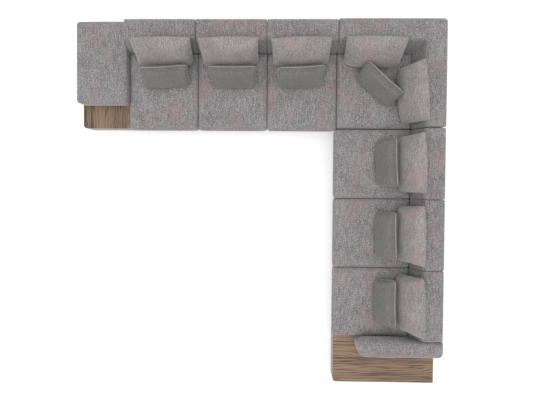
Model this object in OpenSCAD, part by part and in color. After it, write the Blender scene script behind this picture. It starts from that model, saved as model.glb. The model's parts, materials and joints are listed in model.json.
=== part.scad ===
// L-shaped sofa made of separate units: three straight seats along the rear, a square corner seat,
// three straight seats along the side, and a low end unit with a walnut top at each end of the L.
// +X runs along the rear run to the corner, +Y towards the back of the rear run, +Z up.
// The origin lies on the floor, at the middle of the footprint's box.

/* [Units] */
// Width of a straight seat unit, from seam to seam
unit_w = 750; // [700:5:820]
// Depth of every unit, from front to back
unit_d = 1115; // [1080:5:1200]
// Width of an end unit
end_w = 550; // [480:5:620]
// Gap between neighbouring units
seam = 4; // [2:1:8]
// Extra gap where the side run meets the corner unit
run_gap = 8; // [2:1:12]

/* [Base] */
// Height of the glide feet
foot_h = 30; // [20:1:45]
// Radius of a glide foot
foot_r = 22; // [16:1:30]
// Height of the top of the base above the floor
base_h = 250; // [220:5:280]
// Thickness of the padded base cover
wall = 20; // [12:1:26]
// Thickness of the timber rails and the back panels
rail_t = 25; // [20:1:30]
// Radius of the front corners of bases and seat pads, seen from above
corner_r = 30; // [15:1:38]
// Radius of the rear corners, seen from above
rear_r = 12; // [6:1:20]
// Side of the square corner blocks that hold the feet
block_side = 70; // [64:1:90]
// Height of the corner blocks
block_h = 45; // [35:1:60]
// Radius of the peg on top of a glide foot
peg_r = 5; // [3:0.5:8]
// Length of the peg on top of a glide foot
peg_h = 25; // [15:1:30]
// Thickness of the dust cover under each frame
dust_t = 1.5; // [1:0.5:3]

/* [Webbing] */
// Width of a webbing strap
strap_w = 60; // [40:5:70]
// Distance between the middles of neighbouring straps
strap_pitch = 95; // [85:5:120]
// Thickness of a strap
strap_t = 2; // [1.5:0.5:4]

/* [Links] */
// Distance of a link plate from the front and rear of a unit, to its middle
link_in = 250; // [180:5:300]
// Width of a link plate
link_w = 40; // [30:1:60]
// Thickness of a link plate
link_t = 3; // [2:0.5:5]
// Length of a link plate beyond its bolts
link_end = 22; // [14:1:30]
// Radius of a link bolt
bolt_r = 3; // [2:0.5:5]
// Depth that a link bolt reaches into its rail
bolt_depth = 35; // [20:1:60]
// Radius of a bolt head
head_r = 7; // [6:0.5:10]
// Height of a bolt head
head_h = 4; // [3:0.5:6]

/* [Seat pads] */
// Height of the seat surface above the floor
seat_h = 430; // [400:5:460]
// Radius of a seat pad's upper edges
pad_edge = 30; // [15:1:45]
// How far a seat pad swells above its edges
pad_crown = 9; // [4:1:16]
// Width of the band over which a seat pad rises to its crown
pad_slope = 110; // [70:5:160]
// Radius of the lower edges of seat pads and arms
low_edge = 4; // [2:1:8]

/* [Backrests] */
// Height of the backrests above the floor
back_h = 660; // [620:5:700]
// Thickness of a backrest at its top
back_top = 210; // [190:5:230]
// Thickness of a backrest where it meets the seat
back_foot = 310; // [280:5:330]
// Radius of a backrest's long upper edges
back_edge = 28; // [15:1:40]
// Radius of a backrest's rounded ends
end_edge = 14; // [8:1:24]
// Radius of the outer corner of the L-shaped backrest
outer_r = 34; // [20:1:45]
// Radius of the inner corner of the L-shaped backrest
inner_r = 8; // [4:1:10]
// Distance of a back panel from the ends of its backrest
panel_in = 60; // [40:5:100]
// Distance of the top of a back panel below the top of its backrest
panel_drop = 50; // [40:5:80]

/* [End units] */
// Thickness of the walnut tops
top_t = 28; // [18:1:40]
// Radius of a walnut top's outer front corner
top_r = 35; // [20:1:60]
// Radius of a walnut top's other corners
top_small_r = 5; // [2:1:12]
// Length of the soft arm block on the left end unit
slab_l = 862; // [700:5:950]
// Height of the soft arm block above the walnut
slab_h = 240; // [180:5:300]
// Radius of the soft arm block's corners, seen from above
slab_r = 42; // [25:1:60]
// Radius of the soft arm block's upper edges
slab_edge = 30; // [15:1:45]
// How far the soft arm block swells above its edges
slab_crown = 8; // [4:1:14]
// Width of the band over which the soft arm block rises to its crown
slab_slope = 90; // [60:5:140]
// Length of the upright arm on the right end unit
arm_l = 903; // [750:5:980]
// Thickness of the upright arm
arm_t = 166; // [140:1:200]
// Height of the upright arm above the walnut
arm_h = 388; // [330:5:420]
// Radius of the upright arm's front corners, seen from above
arm_r = 80; // [40:1:82]
// Radius of the upright arm's rear outer corner, seen from above
arm_rear_r = 34; // [15:1:50]
// Radius of the upright arm's upper edges
arm_edge = 36; // [20:1:48]
// How far the upright arm swells above its edges
arm_crown = 5; // [2:1:8]
// Width of the band over which the upright arm rises to its crown
arm_slope = 60; // [50:1:66]
// Radius of the wooden pegs that locate the arms
dowel_r = 8; // [5:0.5:12]
// Depth of a wooden peg in the walnut
dowel_down = 18; // [10:1:22]
// Height of a wooden peg above the walnut
dowel_up = 40; // [20:1:60]
// Distance of a wooden peg from the front and rear of its arm
dowel_in = 200; // [120:5:260]

/* [Back cushions] */
// Width of a back cushion
cushion_w = 620; // [560:5:660]
// Height of a back cushion, along its own slope
cushion_h = 480; // [420:5:520]
// Thickness of a back cushion at its crown
cushion_t = 225; // [160:5:240]
// How far a back cushion leans back
cushion_lean = 19; // [14:1:26]
// How far the middle of a back cushion's sides is drawn in
cushion_draw = 16; // [8:1:30]
// Sideways shift of the rear run's back cushions from the middle of their seats
rear_cushion_shift = [43, -13, -15]; // [-50:1:50]
// Turn of the rear run's back cushions, seen from above
rear_cushion_turn = [0.5, 1, 1.5]; // [-3:0.5:3]
// Sideways shift of the side run's back cushions from the middle of their seats
side_cushion_shift = [0, -5, -20]; // [-50:1:50]
// Turn of the side run's back cushions, seen from above
side_cushion_turn = [2, 1, 1.5]; // [-3:0.5:3]
// Distance of the corner's rear cushion from its seam, to the cushion's middle
corner_rear_mid = 368; // [350:1:380]
// Turn of the corner's rear cushion, seen from above
corner_rear_turn = -1; // [-3:0.5:3]
// Distance of the corner's side cushion from its seam, to the cushion's middle
corner_side_mid = 350; // [340:1:365]
// Turn of the corner's side cushion, seen from above
corner_side_turn = 4; // [-3:0.5:5]

/* [Lumbar cushions] */
// Width of a lumbar cushion
lumbar_w = 500; // [440:5:540]
// Height of a lumbar cushion, along its own slope
lumbar_h = 300; // [260:5:330]
// Thickness of a lumbar cushion at its crown
lumbar_t = 160; // [110:5:180]
// How far a lumbar cushion leans back
lumbar_lean = 30; // [22:1:34]
// How far the middle of a lumbar cushion's sides is drawn in
lumbar_draw = 7; // [4:1:16]
// Sideways shift of the rear run's lumbar cushions from the middle of their seats
rear_lumbar_shift = [45, 15, -16]; // [-50:1:50]
// Turn of the rear run's lumbar cushions, seen from above
rear_lumbar_turn = [3, 0, 3]; // [-4:0.5:4]
// Sideways shift of the side run's lumbar cushions from the middle of their seats
side_lumbar_shift = [-8, 12, -22]; // [-60:1:60]
// Turn of the side run's lumbar cushions, seen from above
side_lumbar_turn = [2, 1, 1]; // [-4:0.5:4]
// Distance of the corner's lumbar cushion in front of the side and rear backrests, to its middle
corner_lumbar_out = [366, 348]; // [320:1:380]
// Turn of the corner's lumbar cushion, seen from above
corner_lumbar_turn = -42; // [-50:1:-38]

/* [Fits] */
// Gap between a loose cushion and what it rests on
rest_gap = 0.3; // [0.2:0.1:0.5]
// Gap between the soft pieces of one unit
snug = 0.5; // [0.3:0.1:1]
// Clearance of pegs and bolts in their holes
peg_gap = 0.1; // [0.05:0.05:0.2]
// Gap between a glide foot and the hole that it passes through in the dust cover
foot_gap = 1; // [0.5:0.5:3]
// How far a loose cushion is pressed flat against what it rests on
press = 8; // [4:1:12]

/* [Hidden] */
$fn = 48;
run = 3;
run_l = run * unit_w;
total_x = end_w + run_l + unit_d;
total_y = unit_d + run_gap + run_l + end_w;
rear_x = end_w - total_x / 2;
rear_y = total_y / 2 - unit_d;
side_x = total_x / 2 - unit_d;
side_y = rear_y - run_gap;
back_lean = atan((back_foot - back_top) / (back_h - seat_h));
bearer_y = unit_d - back_foot;
seat_d = unit_d - back_foot - snug;
top_z = base_h + top_t;
link_half = seam / 2 + wall + rail_t / 2;
panel_z = back_h - panel_drop;
fabric_grey = [0.58, 0.56, 0.56];
cushion_grey = [0.63, 0.60, 0.60];
lumbar_grey = [0.49, 0.50, 0.48];
walnut = [0.55, 0.46, 0.38];
timber = [0.80, 0.68, 0.50];

// Boxes of the units in the frame of their run: left, right, front and rear
function straight_box(i) = [i * unit_w + seam / 2, (i + 1) * unit_w - seam / 2, 0, unit_d];
corner_box = [run_l + seam / 2, run_l + unit_d, seam / 2, unit_d];
left_box = [-end_w, -seam / 2, 0, unit_d];
right_box = [run_l + seam / 2, run_l + end_w, 0, unit_d];

module rear_run() {
    translate([rear_x, rear_y, 0]) children();
}

module side_run() {
    translate([side_x, side_y, 0]) rotate([0, 0, -90]) children();
}

// How far a cutting shape runs past the faces that it opens
over = 1;
// Least plan radius of a soft block's rings, and the share of its draw that a side against foam gets
least_r = 3;
tight = 0.4;
crown_steps = [0.35, 0.7, 1];

// Soft closed skin over a stack of rings with equal counts, closed by one point at either end
module skin(rings, first, last) {
    n = len(rings[0]);
    m = len(rings);
    sides = [
        for (i = [0:m - 2], j = [0:n - 1])
            let (k = (j + 1) % n)
            each [
                [i * n + j, (i + 1) * n + j, (i + 1) * n + k],
                [i * n + j, (i + 1) * n + k, i * n + k]
            ]
    ];
    start_cap = [for (j = [0:n - 1]) [m * n, j, (j + 1) % n]];
    end_cap = [for (j = [0:n - 1]) [m * n + 1, (m - 1) * n + (j + 1) % n, (m - 1) * n + j]];
    points = concat([for (ring = rings) each ring], [first, last]);
    polyhedron(points, concat(sides, start_cap, end_cap), convexity = 4);
}

// Ring of a soft block at height z: a box drawn in by d on each side, or by a share of d.
// The shares are for the right, rear, left and front sides.
// The radii are for the front right, rear right, rear left and front left corners.
function block_ring(box, radii, d, z, shares = [1, 1, 1, 1]) =
    let (
        x0 = box[0] + d * shares[2],
        x1 = box[1] - d * shares[0],
        y0 = box[2] + d * shares[3],
        y1 = box[3] - d * shares[1],
        r = [for (k = radii) max(k - d, least_r)],
        mids = [
            [x1 - r[0], y0 + r[0]], [x1 - r[1], y1 - r[1]],
            [x0 + r[2], y1 - r[2]], [x0 + r[3], y0 + r[3]]
        ]
    )
    [for (c = [0:3], a = [-90, -60, -30, 0]) [
        mids[c].x + r[c] * cos(a + 90 * c), mids[c].y + r[c] * sin(a + 90 * c), z]];

// Upholstered block: straight sides, rounded upper edges and a gently crowned top
module soft_block(box, radii, z0, z1, edge, crown, slope, shares = [1, 1, 1, 1]) {
    shoulder = z1 - crown;
    rings = concat(
        [block_ring(box, radii, low_edge, z0, shares)],
        [block_ring(box, radii, 0, z0 + low_edge, shares)],
        [for (a = [0, 30, 60, 90]) block_ring(
            box, radii, edge * (1 - cos(a)), shoulder - edge * (1 - sin(a)), shares)],
        [for (s = crown_steps) block_ring(
            box, radii, edge + (slope - edge) * s, z1 - crown * pow(1 - s, 2), shares)]
    );
    mid = [(box[0] + box[1]) / 2, (box[2] + box[3]) / 2];
    skin(rings, [mid.x, mid.y, z0], [mid.x, mid.y, z1]);
}

// Flat plate with its own radius at each corner: front left, front right, rear right, rear left
module plate(w, d, radii) {
    difference() {
        square([w, d]);
        for (c = [0:3]) {
            r = radii[c];
            translate([c == 1 || c == 2 ? w : 0, c > 1 ? d : 0])
                rotate(90 * c)
                    difference() {
                        translate([-over, -over]) square(r + over);
                        translate([r, r]) circle(r);
                    }
        }
    }
}

module box_plate(box, inset, h, radii) {
    translate([box[0] + inset, box[2] + inset, 0])
        linear_extrude(h)
            plate(box[1] - box[0] - 2 * inset, box[3] - box[2] - 2 * inset, radii);
}

module beam(x0, x1, y0, y1, z0, z1) {
    translate([x0, y0, z0]) cube([x1 - x0, y1 - y0, z1 - z0]);
}

// Places in a unit: feet at its corners, and link bolts along its left, right or front side
function foot_points(box) =
    let (inset = wall + rail_t + block_side / 2)
    [for (x = [box[0] + inset, box[1] - inset], y = [box[2] + inset, box[3] - inset]) [x, y]];
function side_links(box, left, right) = [
    for (y = [link_in, unit_d - link_in])
        each concat(
            left ? [[box[0] + wall + rail_t / 2, y]] : [],
            right ? [[box[1] - wall - rail_t / 2, y]] : [])
];
corner_links = concat(
    side_links(corner_box, true, false),
    [for (x = [link_in, unit_d - link_in]) [run_l + x, corner_box[2] + wall + rail_t / 2]]
);

// Padded fabric cover around the sides of a base
module base_cover(box, radii) {
    color(fabric_grey)
        translate([0, 0, foot_h])
            difference() {
                box_plate(box, 0, base_h - foot_h, radii);
                beam(box[0] + wall, box[1] - wall, box[2] + wall, box[3] - wall, -over, base_h);
            }
}

module seat_base(i) {
    base_cover(straight_box(i), [corner_r, corner_r, rear_r, rear_r]);
}

// Timber rails of one base, its corner blocks, and the holes for feet and link bolts
module timber_frame(box, stringers, links, strapped_right, low) {
    x0 = box[0] + wall;
    x1 = box[1] - wall;
    y0 = box[2] + wall;
    y1 = box[3] - wall;
    inner = [x0 + rail_t, x1 - rail_t, y0 + rail_t, y1 - rail_t];
    low_z = base_h - low;
    right_z = strapped_right ? low_z : base_h;
    color(timber)
        difference() {
            union() {
                beam(x0, x1, y0, inner[2], foot_h, base_h);
                beam(x0, x1, inner[3], y1, foot_h, base_h);
                beam(x0, inner[0], inner[2], inner[3], foot_h, low_z);
                beam(inner[1], x1, inner[2], inner[3], foot_h, right_z);
                beam(inner[0], inner[1], bearer_y, bearer_y + rail_t, foot_h, base_h);
                for (x = stringers) {
                    beam(x, x + rail_t, inner[2], bearer_y, foot_h, low_z);
                    beam(x, x + rail_t, bearer_y + rail_t, inner[3], foot_h, base_h);
                }
                for (p = foot_points(box))
                    beam(p.x - block_side / 2, p.x + block_side / 2,
                         p.y - block_side / 2, p.y + block_side / 2, foot_h, foot_h + block_h);
            }
            for (p = foot_points(box))
                translate([p.x, p.y, foot_h - over]) cylinder(r = peg_r + peg_gap, h = peg_h + over);
            for (p = links)
                translate([p.x, p.y, foot_h - over])
                    cylinder(r = bolt_r + peg_gap, h = bolt_depth + over);
        }
}

function mid_stringer(a, b) = (a + b - rail_t) / 2;

module straight_frame(i) {
    box = straight_box(i);
    timber_frame(box, [mid_stringer(box[0], box[1])], side_links(box, true, true), true, strap_t);
}

corner_seat_x = run_l + bearer_y;
corner_stringers = [mid_stringer(corner_box[0] + wall + rail_t, corner_seat_x), corner_seat_x];

// Straps across the seat part of a base, from its left rail to x1
module straps(box, x1) {
    y0 = box[2] + wall + rail_t;
    count = floor((bearer_y - y0 - strap_w) / strap_pitch) + 1;
    spare = bearer_y - y0 - (count - 1) * strap_pitch;
    for (k = [0:count - 1]) {
        y = y0 + spare / 2 + k * strap_pitch;
        beam(box[0] + wall, x1, y - strap_w / 2, y + strap_w / 2, base_h - strap_t, base_h);
    }
}

module seat_webbing() {
    color("black") {
        for (i = [0:run - 1]) {
            box = straight_box(i);
            rear_run() straps(box, box[1] - wall);
            side_run() straps(box, box[1] - wall);
        }
        rear_run() straps(corner_box, corner_seat_x + rail_t);
    }
}

module dust_cover(box, links) {
    inset = wall / 2;
    color("dimgray")
        translate([0, 0, foot_h - dust_t])
            difference() {
                box_plate(box, inset, dust_t, [corner_r, corner_r, corner_r, corner_r]);
                for (p = foot_points(box))
                    translate([p.x, p.y, -over])
                        cylinder(r = foot_r + foot_gap, h = dust_t + 2 * over);
                for (p = links)
                    translate([p.x, p.y, -over])
                        cylinder(r = bolt_r + peg_gap, h = dust_t + 2 * over);
            }
}

module dust_covers() {
    for (i = [0:run - 1]) {
        box = straight_box(i);
        rear_run() dust_cover(box, side_links(box, true, true));
        side_run() dust_cover(box, side_links(box, true, true));
    }
    rear_run() dust_cover(corner_box, corner_links);
    rear_run() dust_cover(left_box, side_links(left_box, false, true));
    side_run() dust_cover(right_box, side_links(right_box, true, false));
}

module glide_foot(p) {
    translate([p.x, p.y, 0]) {
        cylinder(r = foot_r, h = foot_h);
        cylinder(r = peg_r, h = foot_h + peg_h);
    }
}

module glide_feet() {
    color("black") {
        for (i = [0:run - 1], p = foot_points(straight_box(i))) {
            rear_run() glide_foot(p);
            side_run() glide_foot(p);
        }
        for (box = [corner_box, left_box], p = foot_points(box))
            rear_run() glide_foot(p);
        for (p = foot_points(right_box))
            side_run() glide_foot(p);
    }
}

// Seams of both runs as the places of the bolts to their left and right
rear_seams = [for (k = [0:run]) [k * unit_w - link_half, k * unit_w + link_half]];
side_seams = concat(
    [[-run_gap - link_half, link_half]],
    [for (k = [1:run]) [k * unit_w - link_half, k * unit_w + link_half]]
);
link_z = foot_h - dust_t - link_t;

module link_plate(bolts, y) {
    difference() {
        beam(bolts[0] - link_end, bolts[1] + link_end,
             y - link_w / 2, y + link_w / 2, link_z, link_z + link_t);
        for (x = bolts)
            translate([x, y, link_z - over]) cylinder(r = bolt_r + peg_gap, h = link_t + 2 * over);
    }
}

module link_bolt(x, y) {
    translate([x, y, link_z - head_h]) {
        cylinder(r = head_r, h = head_h);
        cylinder(r = bolt_r, h = head_h + link_t + dust_t + bolt_depth);
    }
}

module link_plates() {
    color("silver")
        for (y = [link_in, unit_d - link_in]) {
            rear_run() for (s = rear_seams) link_plate(s, y);
            side_run() for (s = side_seams) link_plate(s, y);
        }
}

module link_bolts() {
    color("gray")
        for (y = [link_in, unit_d - link_in]) {
            rear_run() for (s = rear_seams, x = s) link_bolt(x, y);
            side_run() for (s = side_seams, x = s) link_bolt(x, y);
        }
}

// Seat pads
module seat_pad(box, shares, radii) {
    color(fabric_grey)
        soft_block(box, radii, base_h, seat_h, pad_edge, pad_crown, pad_slope, shares);
}

module straight_seat(i) {
    box = straight_box(i);
    seat_pad([box[0], box[1], 0, seat_d], [1, tight, 1, 1], [corner_r, rear_r, rear_r, corner_r]);
}

module corner_seat() {
    seat_pad(
        [corner_box[0], run_l + seat_d, corner_box[2], seat_d],
        [tight, tight, 1, 1], [rear_r, rear_r, rear_r, rear_r]);
}

// Outline of a backrest across its length, as depth from the rear face and height, drawn in by d
function back_outline(d) =
    let (
        front_mid = back_top - back_edge * tan((90 - back_lean) / 2),
        z = back_h - back_edge,
        rear_arc = [for (a = [180, 150, 120, 90]) [back_edge * (1 + cos(a)), z + back_edge * sin(a)]],
        front_arc = [for (k = [0:3])
            let (a = 90 + (back_lean - 90) * k / 3)
            [front_mid + back_edge * cos(a), z + back_edge * sin(a)]],
        outline = concat(
            [[0, base_h]], rear_arc, [[back_top / 2, back_h]], front_arc,
            [[back_foot, seat_h], [back_foot, base_h]])
    )
    [for (p = outline) [p.x + d * (1 - 2 * p.x / back_foot), p.y > seat_h ? p.y - d : p.y]];
// One station of a backrest: its place on the rear face, the way to its front, and how far it draws in
function back_ring(place, way, d) =
    [for (p = back_outline(d)) [place.x + way.x * p.x, place.y + way.y * p.x, p.y]];
rounded_end = [for (a = [0, 45, 90]) [end_edge * (1 - cos(a)), end_edge * (1 - sin(a))]];
ring_mid_z = (base_h + back_h) / 2;

module straight_back(i) {
    box = straight_box(i);
    way = [0, -1];
    left = [for (e = rounded_end) back_ring([box[0] + e[0], unit_d], way, e[1])];
    right = [for (e = [rounded_end[2], rounded_end[1], rounded_end[0]])
        back_ring([box[1] - e[0], unit_d], way, e[1])];
    middle = [back_ring([(box[0] + box[1]) / 2, unit_d], way, 0)];
    end_y = unit_d - back_top / 2;
    color(fabric_grey)
        difference() {
            skin(concat(left, middle, right), [box[0], end_y, ring_mid_z], [box[1], end_y, ring_mid_z]);
            back_slot(box[0] + panel_in, box[1] - panel_in, unit_d - wall - rail_t, unit_d - wall);
        }
}

// L-shaped backrest: along the rear, round the outer corner and down the side
module corner_back() {
    x0 = corner_box[0];
    x1 = corner_box[1];
    y0 = corner_box[2];
    y1 = corner_box[3];
    rear_part = [for (e = rounded_end) back_ring([x0 + e[0], y1], [0, -1], e[1])];
    bend = [for (a = [90, 45, 0])
        let (
            side = 1 - cos(a),
            rear = 1 - sin(a),
            outer = [x1 - outer_r * side, y1 - outer_r * rear],
            inner = [x1 - back_foot - inner_r * side, y1 - back_foot - inner_r * rear]
        )
        back_ring(outer, (inner - outer) / back_foot, 0)];
    side_part = [for (e = [rounded_end[2], rounded_end[1], rounded_end[0]])
        back_ring([x1, y0 + e[0]], [-1, 0], e[1])];
    color(fabric_grey)
        difference() {
            skin(
                concat(rear_part, bend, side_part),
                [x0, y1 - back_top / 2, ring_mid_z], [x1 - back_top / 2, y0, ring_mid_z]);
            back_slot(x0 + panel_in, x1 - wall, y1 - wall - rail_t, y1 - wall);
            back_slot(x1 - wall - rail_t, x1 - wall, y0 + panel_in, y1 - wall - rail_t);
        }
}

// Slot in a backrest for its timber panel, a little larger than the panel
module back_slot(x0, x1, y0, y1) {
    beam(x0 - snug, x1 + snug, y0 - snug, y1 + snug, base_h - over, panel_z + snug);
}

module back_panel(x0, x1, y0, y1) {
    beam(x0, x1, y0, y1, base_h, panel_z);
}

module back_panels() {
    color(timber) {
        for (i = [0:run - 1]) {
            x0 = straight_box(i)[0] + panel_in;
            x1 = straight_box(i)[1] - panel_in;
            rear_run() back_panel(x0, x1, unit_d - wall - rail_t, unit_d - wall);
            side_run() back_panel(x0, x1, unit_d - wall - rail_t, unit_d - wall);
        }
        rear_run() {
            x1 = corner_box[1] - wall;
            y1 = corner_box[3] - wall;
            back_panel(corner_box[0] + panel_in, x1, y1 - rail_t, y1);
            back_panel(x1 - rail_t, x1, corner_box[2] + panel_in, y1 - rail_t);
        }
    }
}

// Walnut tops, their arms and the pegs between them
left_top_radii = [top_r, top_small_r, top_small_r, top_small_r];
right_top_radii = [top_small_r, top_r, top_small_r, top_small_r];
slab_mid_x = (left_box[0] + left_box[1]) / 2;
arm_mid_x = right_box[0] + arm_t / 2;
slab_pegs = [for (y = [unit_d - slab_l + dowel_in, unit_d - dowel_in]) [slab_mid_x, y]];
arm_peg_places = [for (y = [unit_d - arm_l + dowel_in, unit_d - dowel_in]) [arm_mid_x, y]];

module wood_top(box, radii, pegs) {
    color(walnut)
        difference() {
            translate([0, 0, base_h]) box_plate(box, 0, top_t, radii);
            for (p = pegs)
                translate([p.x, p.y, top_z - dowel_down])
                    cylinder(r = dowel_r + peg_gap, h = dowel_down + over);
        }
}

module arm_peg(p) {
    translate([p.x, p.y, top_z - dowel_down]) cylinder(r = dowel_r, h = dowel_down + dowel_up);
}

module arm_pegs() {
    color(timber) {
        rear_run() for (p = slab_pegs) arm_peg(p);
        side_run() for (p = arm_peg_places) arm_peg(p);
    }
}

module arm_cushion(box, radii, h, edge, crown, slope, pegs) {
    color(fabric_grey)
        difference() {
            soft_block(box, radii, top_z, top_z + h, edge, crown, slope);
            for (p = pegs)
                translate([p.x, p.y, top_z - over])
                    cylinder(r = dowel_r + peg_gap, h = dowel_up + over);
        }
}

// Signed distance of a point in front of the leaning face of the rear backrest or of the side one
function face_gap(p, depth) =
    (bearer_y + (p.z - seat_h) * tan(back_lean) - depth) * cos(back_lean);
// A point pushed out of the space behind a plane that lies gap in front of the backrest's leaning face
function off_rear(p, gap) =
    let (d = max(gap - face_gap(p, p.y), 0))
    [p.x, p.y - d * cos(back_lean), p.z + d * sin(back_lean)];
function off_side(p, gap) =
    let (d = max(gap - face_gap(p, p.x), 0))
    [p.x - d * cos(back_lean), p.y, p.z + d * sin(back_lean)];
function off_seat(p) = [p.x, p.y, max(p.z, seat_h + rest_gap)];

// Loose cushion: two crowned faces that meet in a thin seam, with the sides drawn in between corners
seam_half = 4;
side_fullness = 3;
crown_fullness = 0.6;
function square_walk(n) = [
    for (side = [0:3], k = [0:n - 1])
        let (t = sin(90 * (2 * k / n - 1)))
        [[-1, t], [t, 1], [1, -t], [-t, -1]][side]
];
function pillow_half(u, v, t) =
    seam_half + (t / 2 - seam_half)
        * pow((1 - pow(abs(u), side_fullness)) * (1 - pow(abs(v), side_fullness)), crown_fullness);
function pillow_point(w, h, t, draw, u, v, face) = [
    u * (w / 2 - draw * (1 - v * v)),
    face * pillow_half(u, v, t),
    v * (h / 2 - draw * (1 - u * u))
];
function pillow_ring(w, h, t, draw, n, s, face) =
    [for (p = square_walk(n)) pillow_point(w, h, t, draw, p[0] * s, p[1] * s, face)];
// Leans a point back, turns it about the vertical and moves it to its place
function laid(p, lean, turn, place) =
    let (
        y = p.y * cos(lean) + p.z * sin(lean),
        z = p.z * cos(lean) - p.y * sin(lean)
    )
    [place.x + p.x * cos(turn) - y * sin(turn), place.y + p.x * sin(turn) + y * cos(turn), place.z + z];
// Height of a cushion's middle when its lower seam sinks by the press into the seat
function middle_z(h, lean) = seat_h + h / 2 * cos(lean) - press;
// Depth of a cushion's middle when its crown is pressed against a plane gap in front of the backrest
function middle_y(t, z, gap) =
    bearer_y + (z - seat_h) * tan(back_lean) - (t / 2 - press + gap) / cos(back_lean);

cushion_shares = [0.4, 0.7, 0.9, 1];
cushion_side_points = 6;
cushion_z = middle_z(cushion_h, cushion_lean);
cushion_y = middle_y(cushion_t, cushion_z, rest_gap);
function cushion_rings(x, turn) = [
    for (face = [-1, 1], k = [0:3])
        [for (p = pillow_ring(cushion_w, cushion_h, cushion_t, cushion_draw, cushion_side_points,
                              cushion_shares[face < 0 ? k : 3 - k], face))
            off_seat(off_rear(laid(p, cushion_lean, turn, [x, cushion_y, cushion_z]), rest_gap))]
];
function cushion_crown(x, turn, face) =
    off_rear(laid([0, face * cushion_t / 2, 0], cushion_lean, turn, [x, cushion_y, cushion_z]), rest_gap);

module back_cushion(x, turn) {
    color(cushion_grey)
        skin(cushion_rings(x, turn), cushion_crown(x, turn, -1), cushion_crown(x, turn, 1));
}

// How far the back cushions of a unit reach in front of the backrest's leaning face
function cushion_reach(turn) =
    let (points = concat([for (ring = cushion_rings(0, turn)) each ring], [cushion_crown(0, turn, -1)]))
    max([for (p = points) face_gap(p, p.y)]);

lumbar_shares = [0.5, 0.85, 1];
lumbar_side_points = 5;
lumbar_z = middle_z(lumbar_h, lumbar_lean);
function lumbar_rings(turn, place) = [
    for (face = [-1, 1], k = [0:2])
        [for (p = pillow_ring(lumbar_w, lumbar_h, lumbar_t, lumbar_draw, lumbar_side_points,
                              lumbar_shares[face < 0 ? k : 2 - k], face))
            laid(p, lumbar_lean, turn, place)]
];
function lumbar_crown(turn, place, face) = laid([0, face * lumbar_t / 2, 0], lumbar_lean, turn, place);

module lumbar_cushion(x, turn, cushion_turn) {
    gap = cushion_reach(cushion_turn) + rest_gap;
    place = [x, middle_y(lumbar_t, lumbar_z, gap), lumbar_z];
    rings = [for (ring = lumbar_rings(turn, place)) [for (p = ring) off_seat(off_rear(p, gap))]];
    color(lumbar_grey)
        skin(rings, lumbar_crown(turn, place, -1), off_rear(lumbar_crown(turn, place, 1), gap));
}

// The corner's lumbar cushion stands across the corner and leans on both of its back cushions
module corner_lumbar() {
    place = [bearer_y - corner_lumbar_out.x, bearer_y - corner_lumbar_out.y, lumbar_z];
    rear_gap = cushion_reach(corner_rear_turn) + rest_gap;
    side_gap = cushion_reach(corner_side_turn) + rest_gap;
    rings = [for (ring = lumbar_rings(corner_lumbar_turn, place))
        [for (p = ring) off_seat(off_side(off_rear(p, rear_gap), side_gap))]];
    crowns = [for (face = [-1, 1]) lumbar_crown(corner_lumbar_turn, place, face)];
    color(lumbar_grey)
        rear_run() translate([run_l, 0, 0]) skin(rings, crowns[0], crowns[1]);
}

function seat_mid(i) = (i + 0.5) * unit_w;

module rear_base(i) { rear_run() seat_base(i); }
module side_base(i) { side_run() seat_base(i); }
module corner_base() { rear_run() base_cover(corner_box, [rear_r, rear_r, outer_r, rear_r]); }
module left_end_base() { rear_run() base_cover(left_box, left_top_radii); }
module right_end_base() { side_run() base_cover(right_box, right_top_radii); }
module rear_frame(i) { rear_run() straight_frame(i); }
module side_frame(i) { side_run() straight_frame(i); }
module corner_frame() {
    rear_run() timber_frame(corner_box, corner_stringers, corner_links, false, strap_t);
}
module left_end_frame() {
    stringer = mid_stringer(left_box[0], left_box[1]);
    rear_run() timber_frame(left_box, [stringer], side_links(left_box, false, true), true, 0);
}
module right_end_frame() {
    stringer = mid_stringer(right_box[0], right_box[1]);
    side_run() timber_frame(right_box, [stringer], side_links(right_box, true, false), true, 0);
}
module rear_seat(i) { rear_run() straight_seat(i); }
module side_seat(i) { side_run() straight_seat(i); }
module rear_back(i) { rear_run() straight_back(i); }
module side_back(i) { side_run() straight_back(i); }
module left_end_top() { rear_run() wood_top(left_box, left_top_radii, slab_pegs); }
module right_end_top() { side_run() wood_top(right_box, right_top_radii, arm_peg_places); }
module left_arm() {
    rear_run() arm_cushion(
        [left_box[0], left_box[1], unit_d - slab_l, unit_d], [slab_r, slab_r, slab_r, slab_r],
        slab_h, slab_edge, slab_crown, slab_slope, slab_pegs);
}
module right_arm() {
    side_run() arm_cushion(
        [right_box[0], right_box[0] + arm_t, unit_d - arm_l, unit_d], [arm_r, arm_rear_r, rear_r, arm_r],
        arm_h, arm_edge, arm_crown, arm_slope, arm_peg_places);
}
module rear_cushion(i) {
    rear_run() back_cushion(seat_mid(i) + rear_cushion_shift[i], rear_cushion_turn[i]);
}
module side_cushion(i) {
    side_run() back_cushion(seat_mid(i) + side_cushion_shift[i], side_cushion_turn[i]);
}
module corner_rear_cushion() {
    rear_run() back_cushion(run_l + corner_rear_mid, corner_rear_turn);
}
module corner_side_cushion() {
    side_run() back_cushion(-run_gap - corner_side_mid, corner_side_turn);
}
module rear_lumbar(i) {
    rear_run() lumbar_cushion(seat_mid(i) + rear_lumbar_shift[i], rear_lumbar_turn[i], rear_cushion_turn[i]);
}
module side_lumbar(i) {
    side_run() lumbar_cushion(seat_mid(i) + side_lumbar_shift[i], side_lumbar_turn[i], side_cushion_turn[i]);
}

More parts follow.
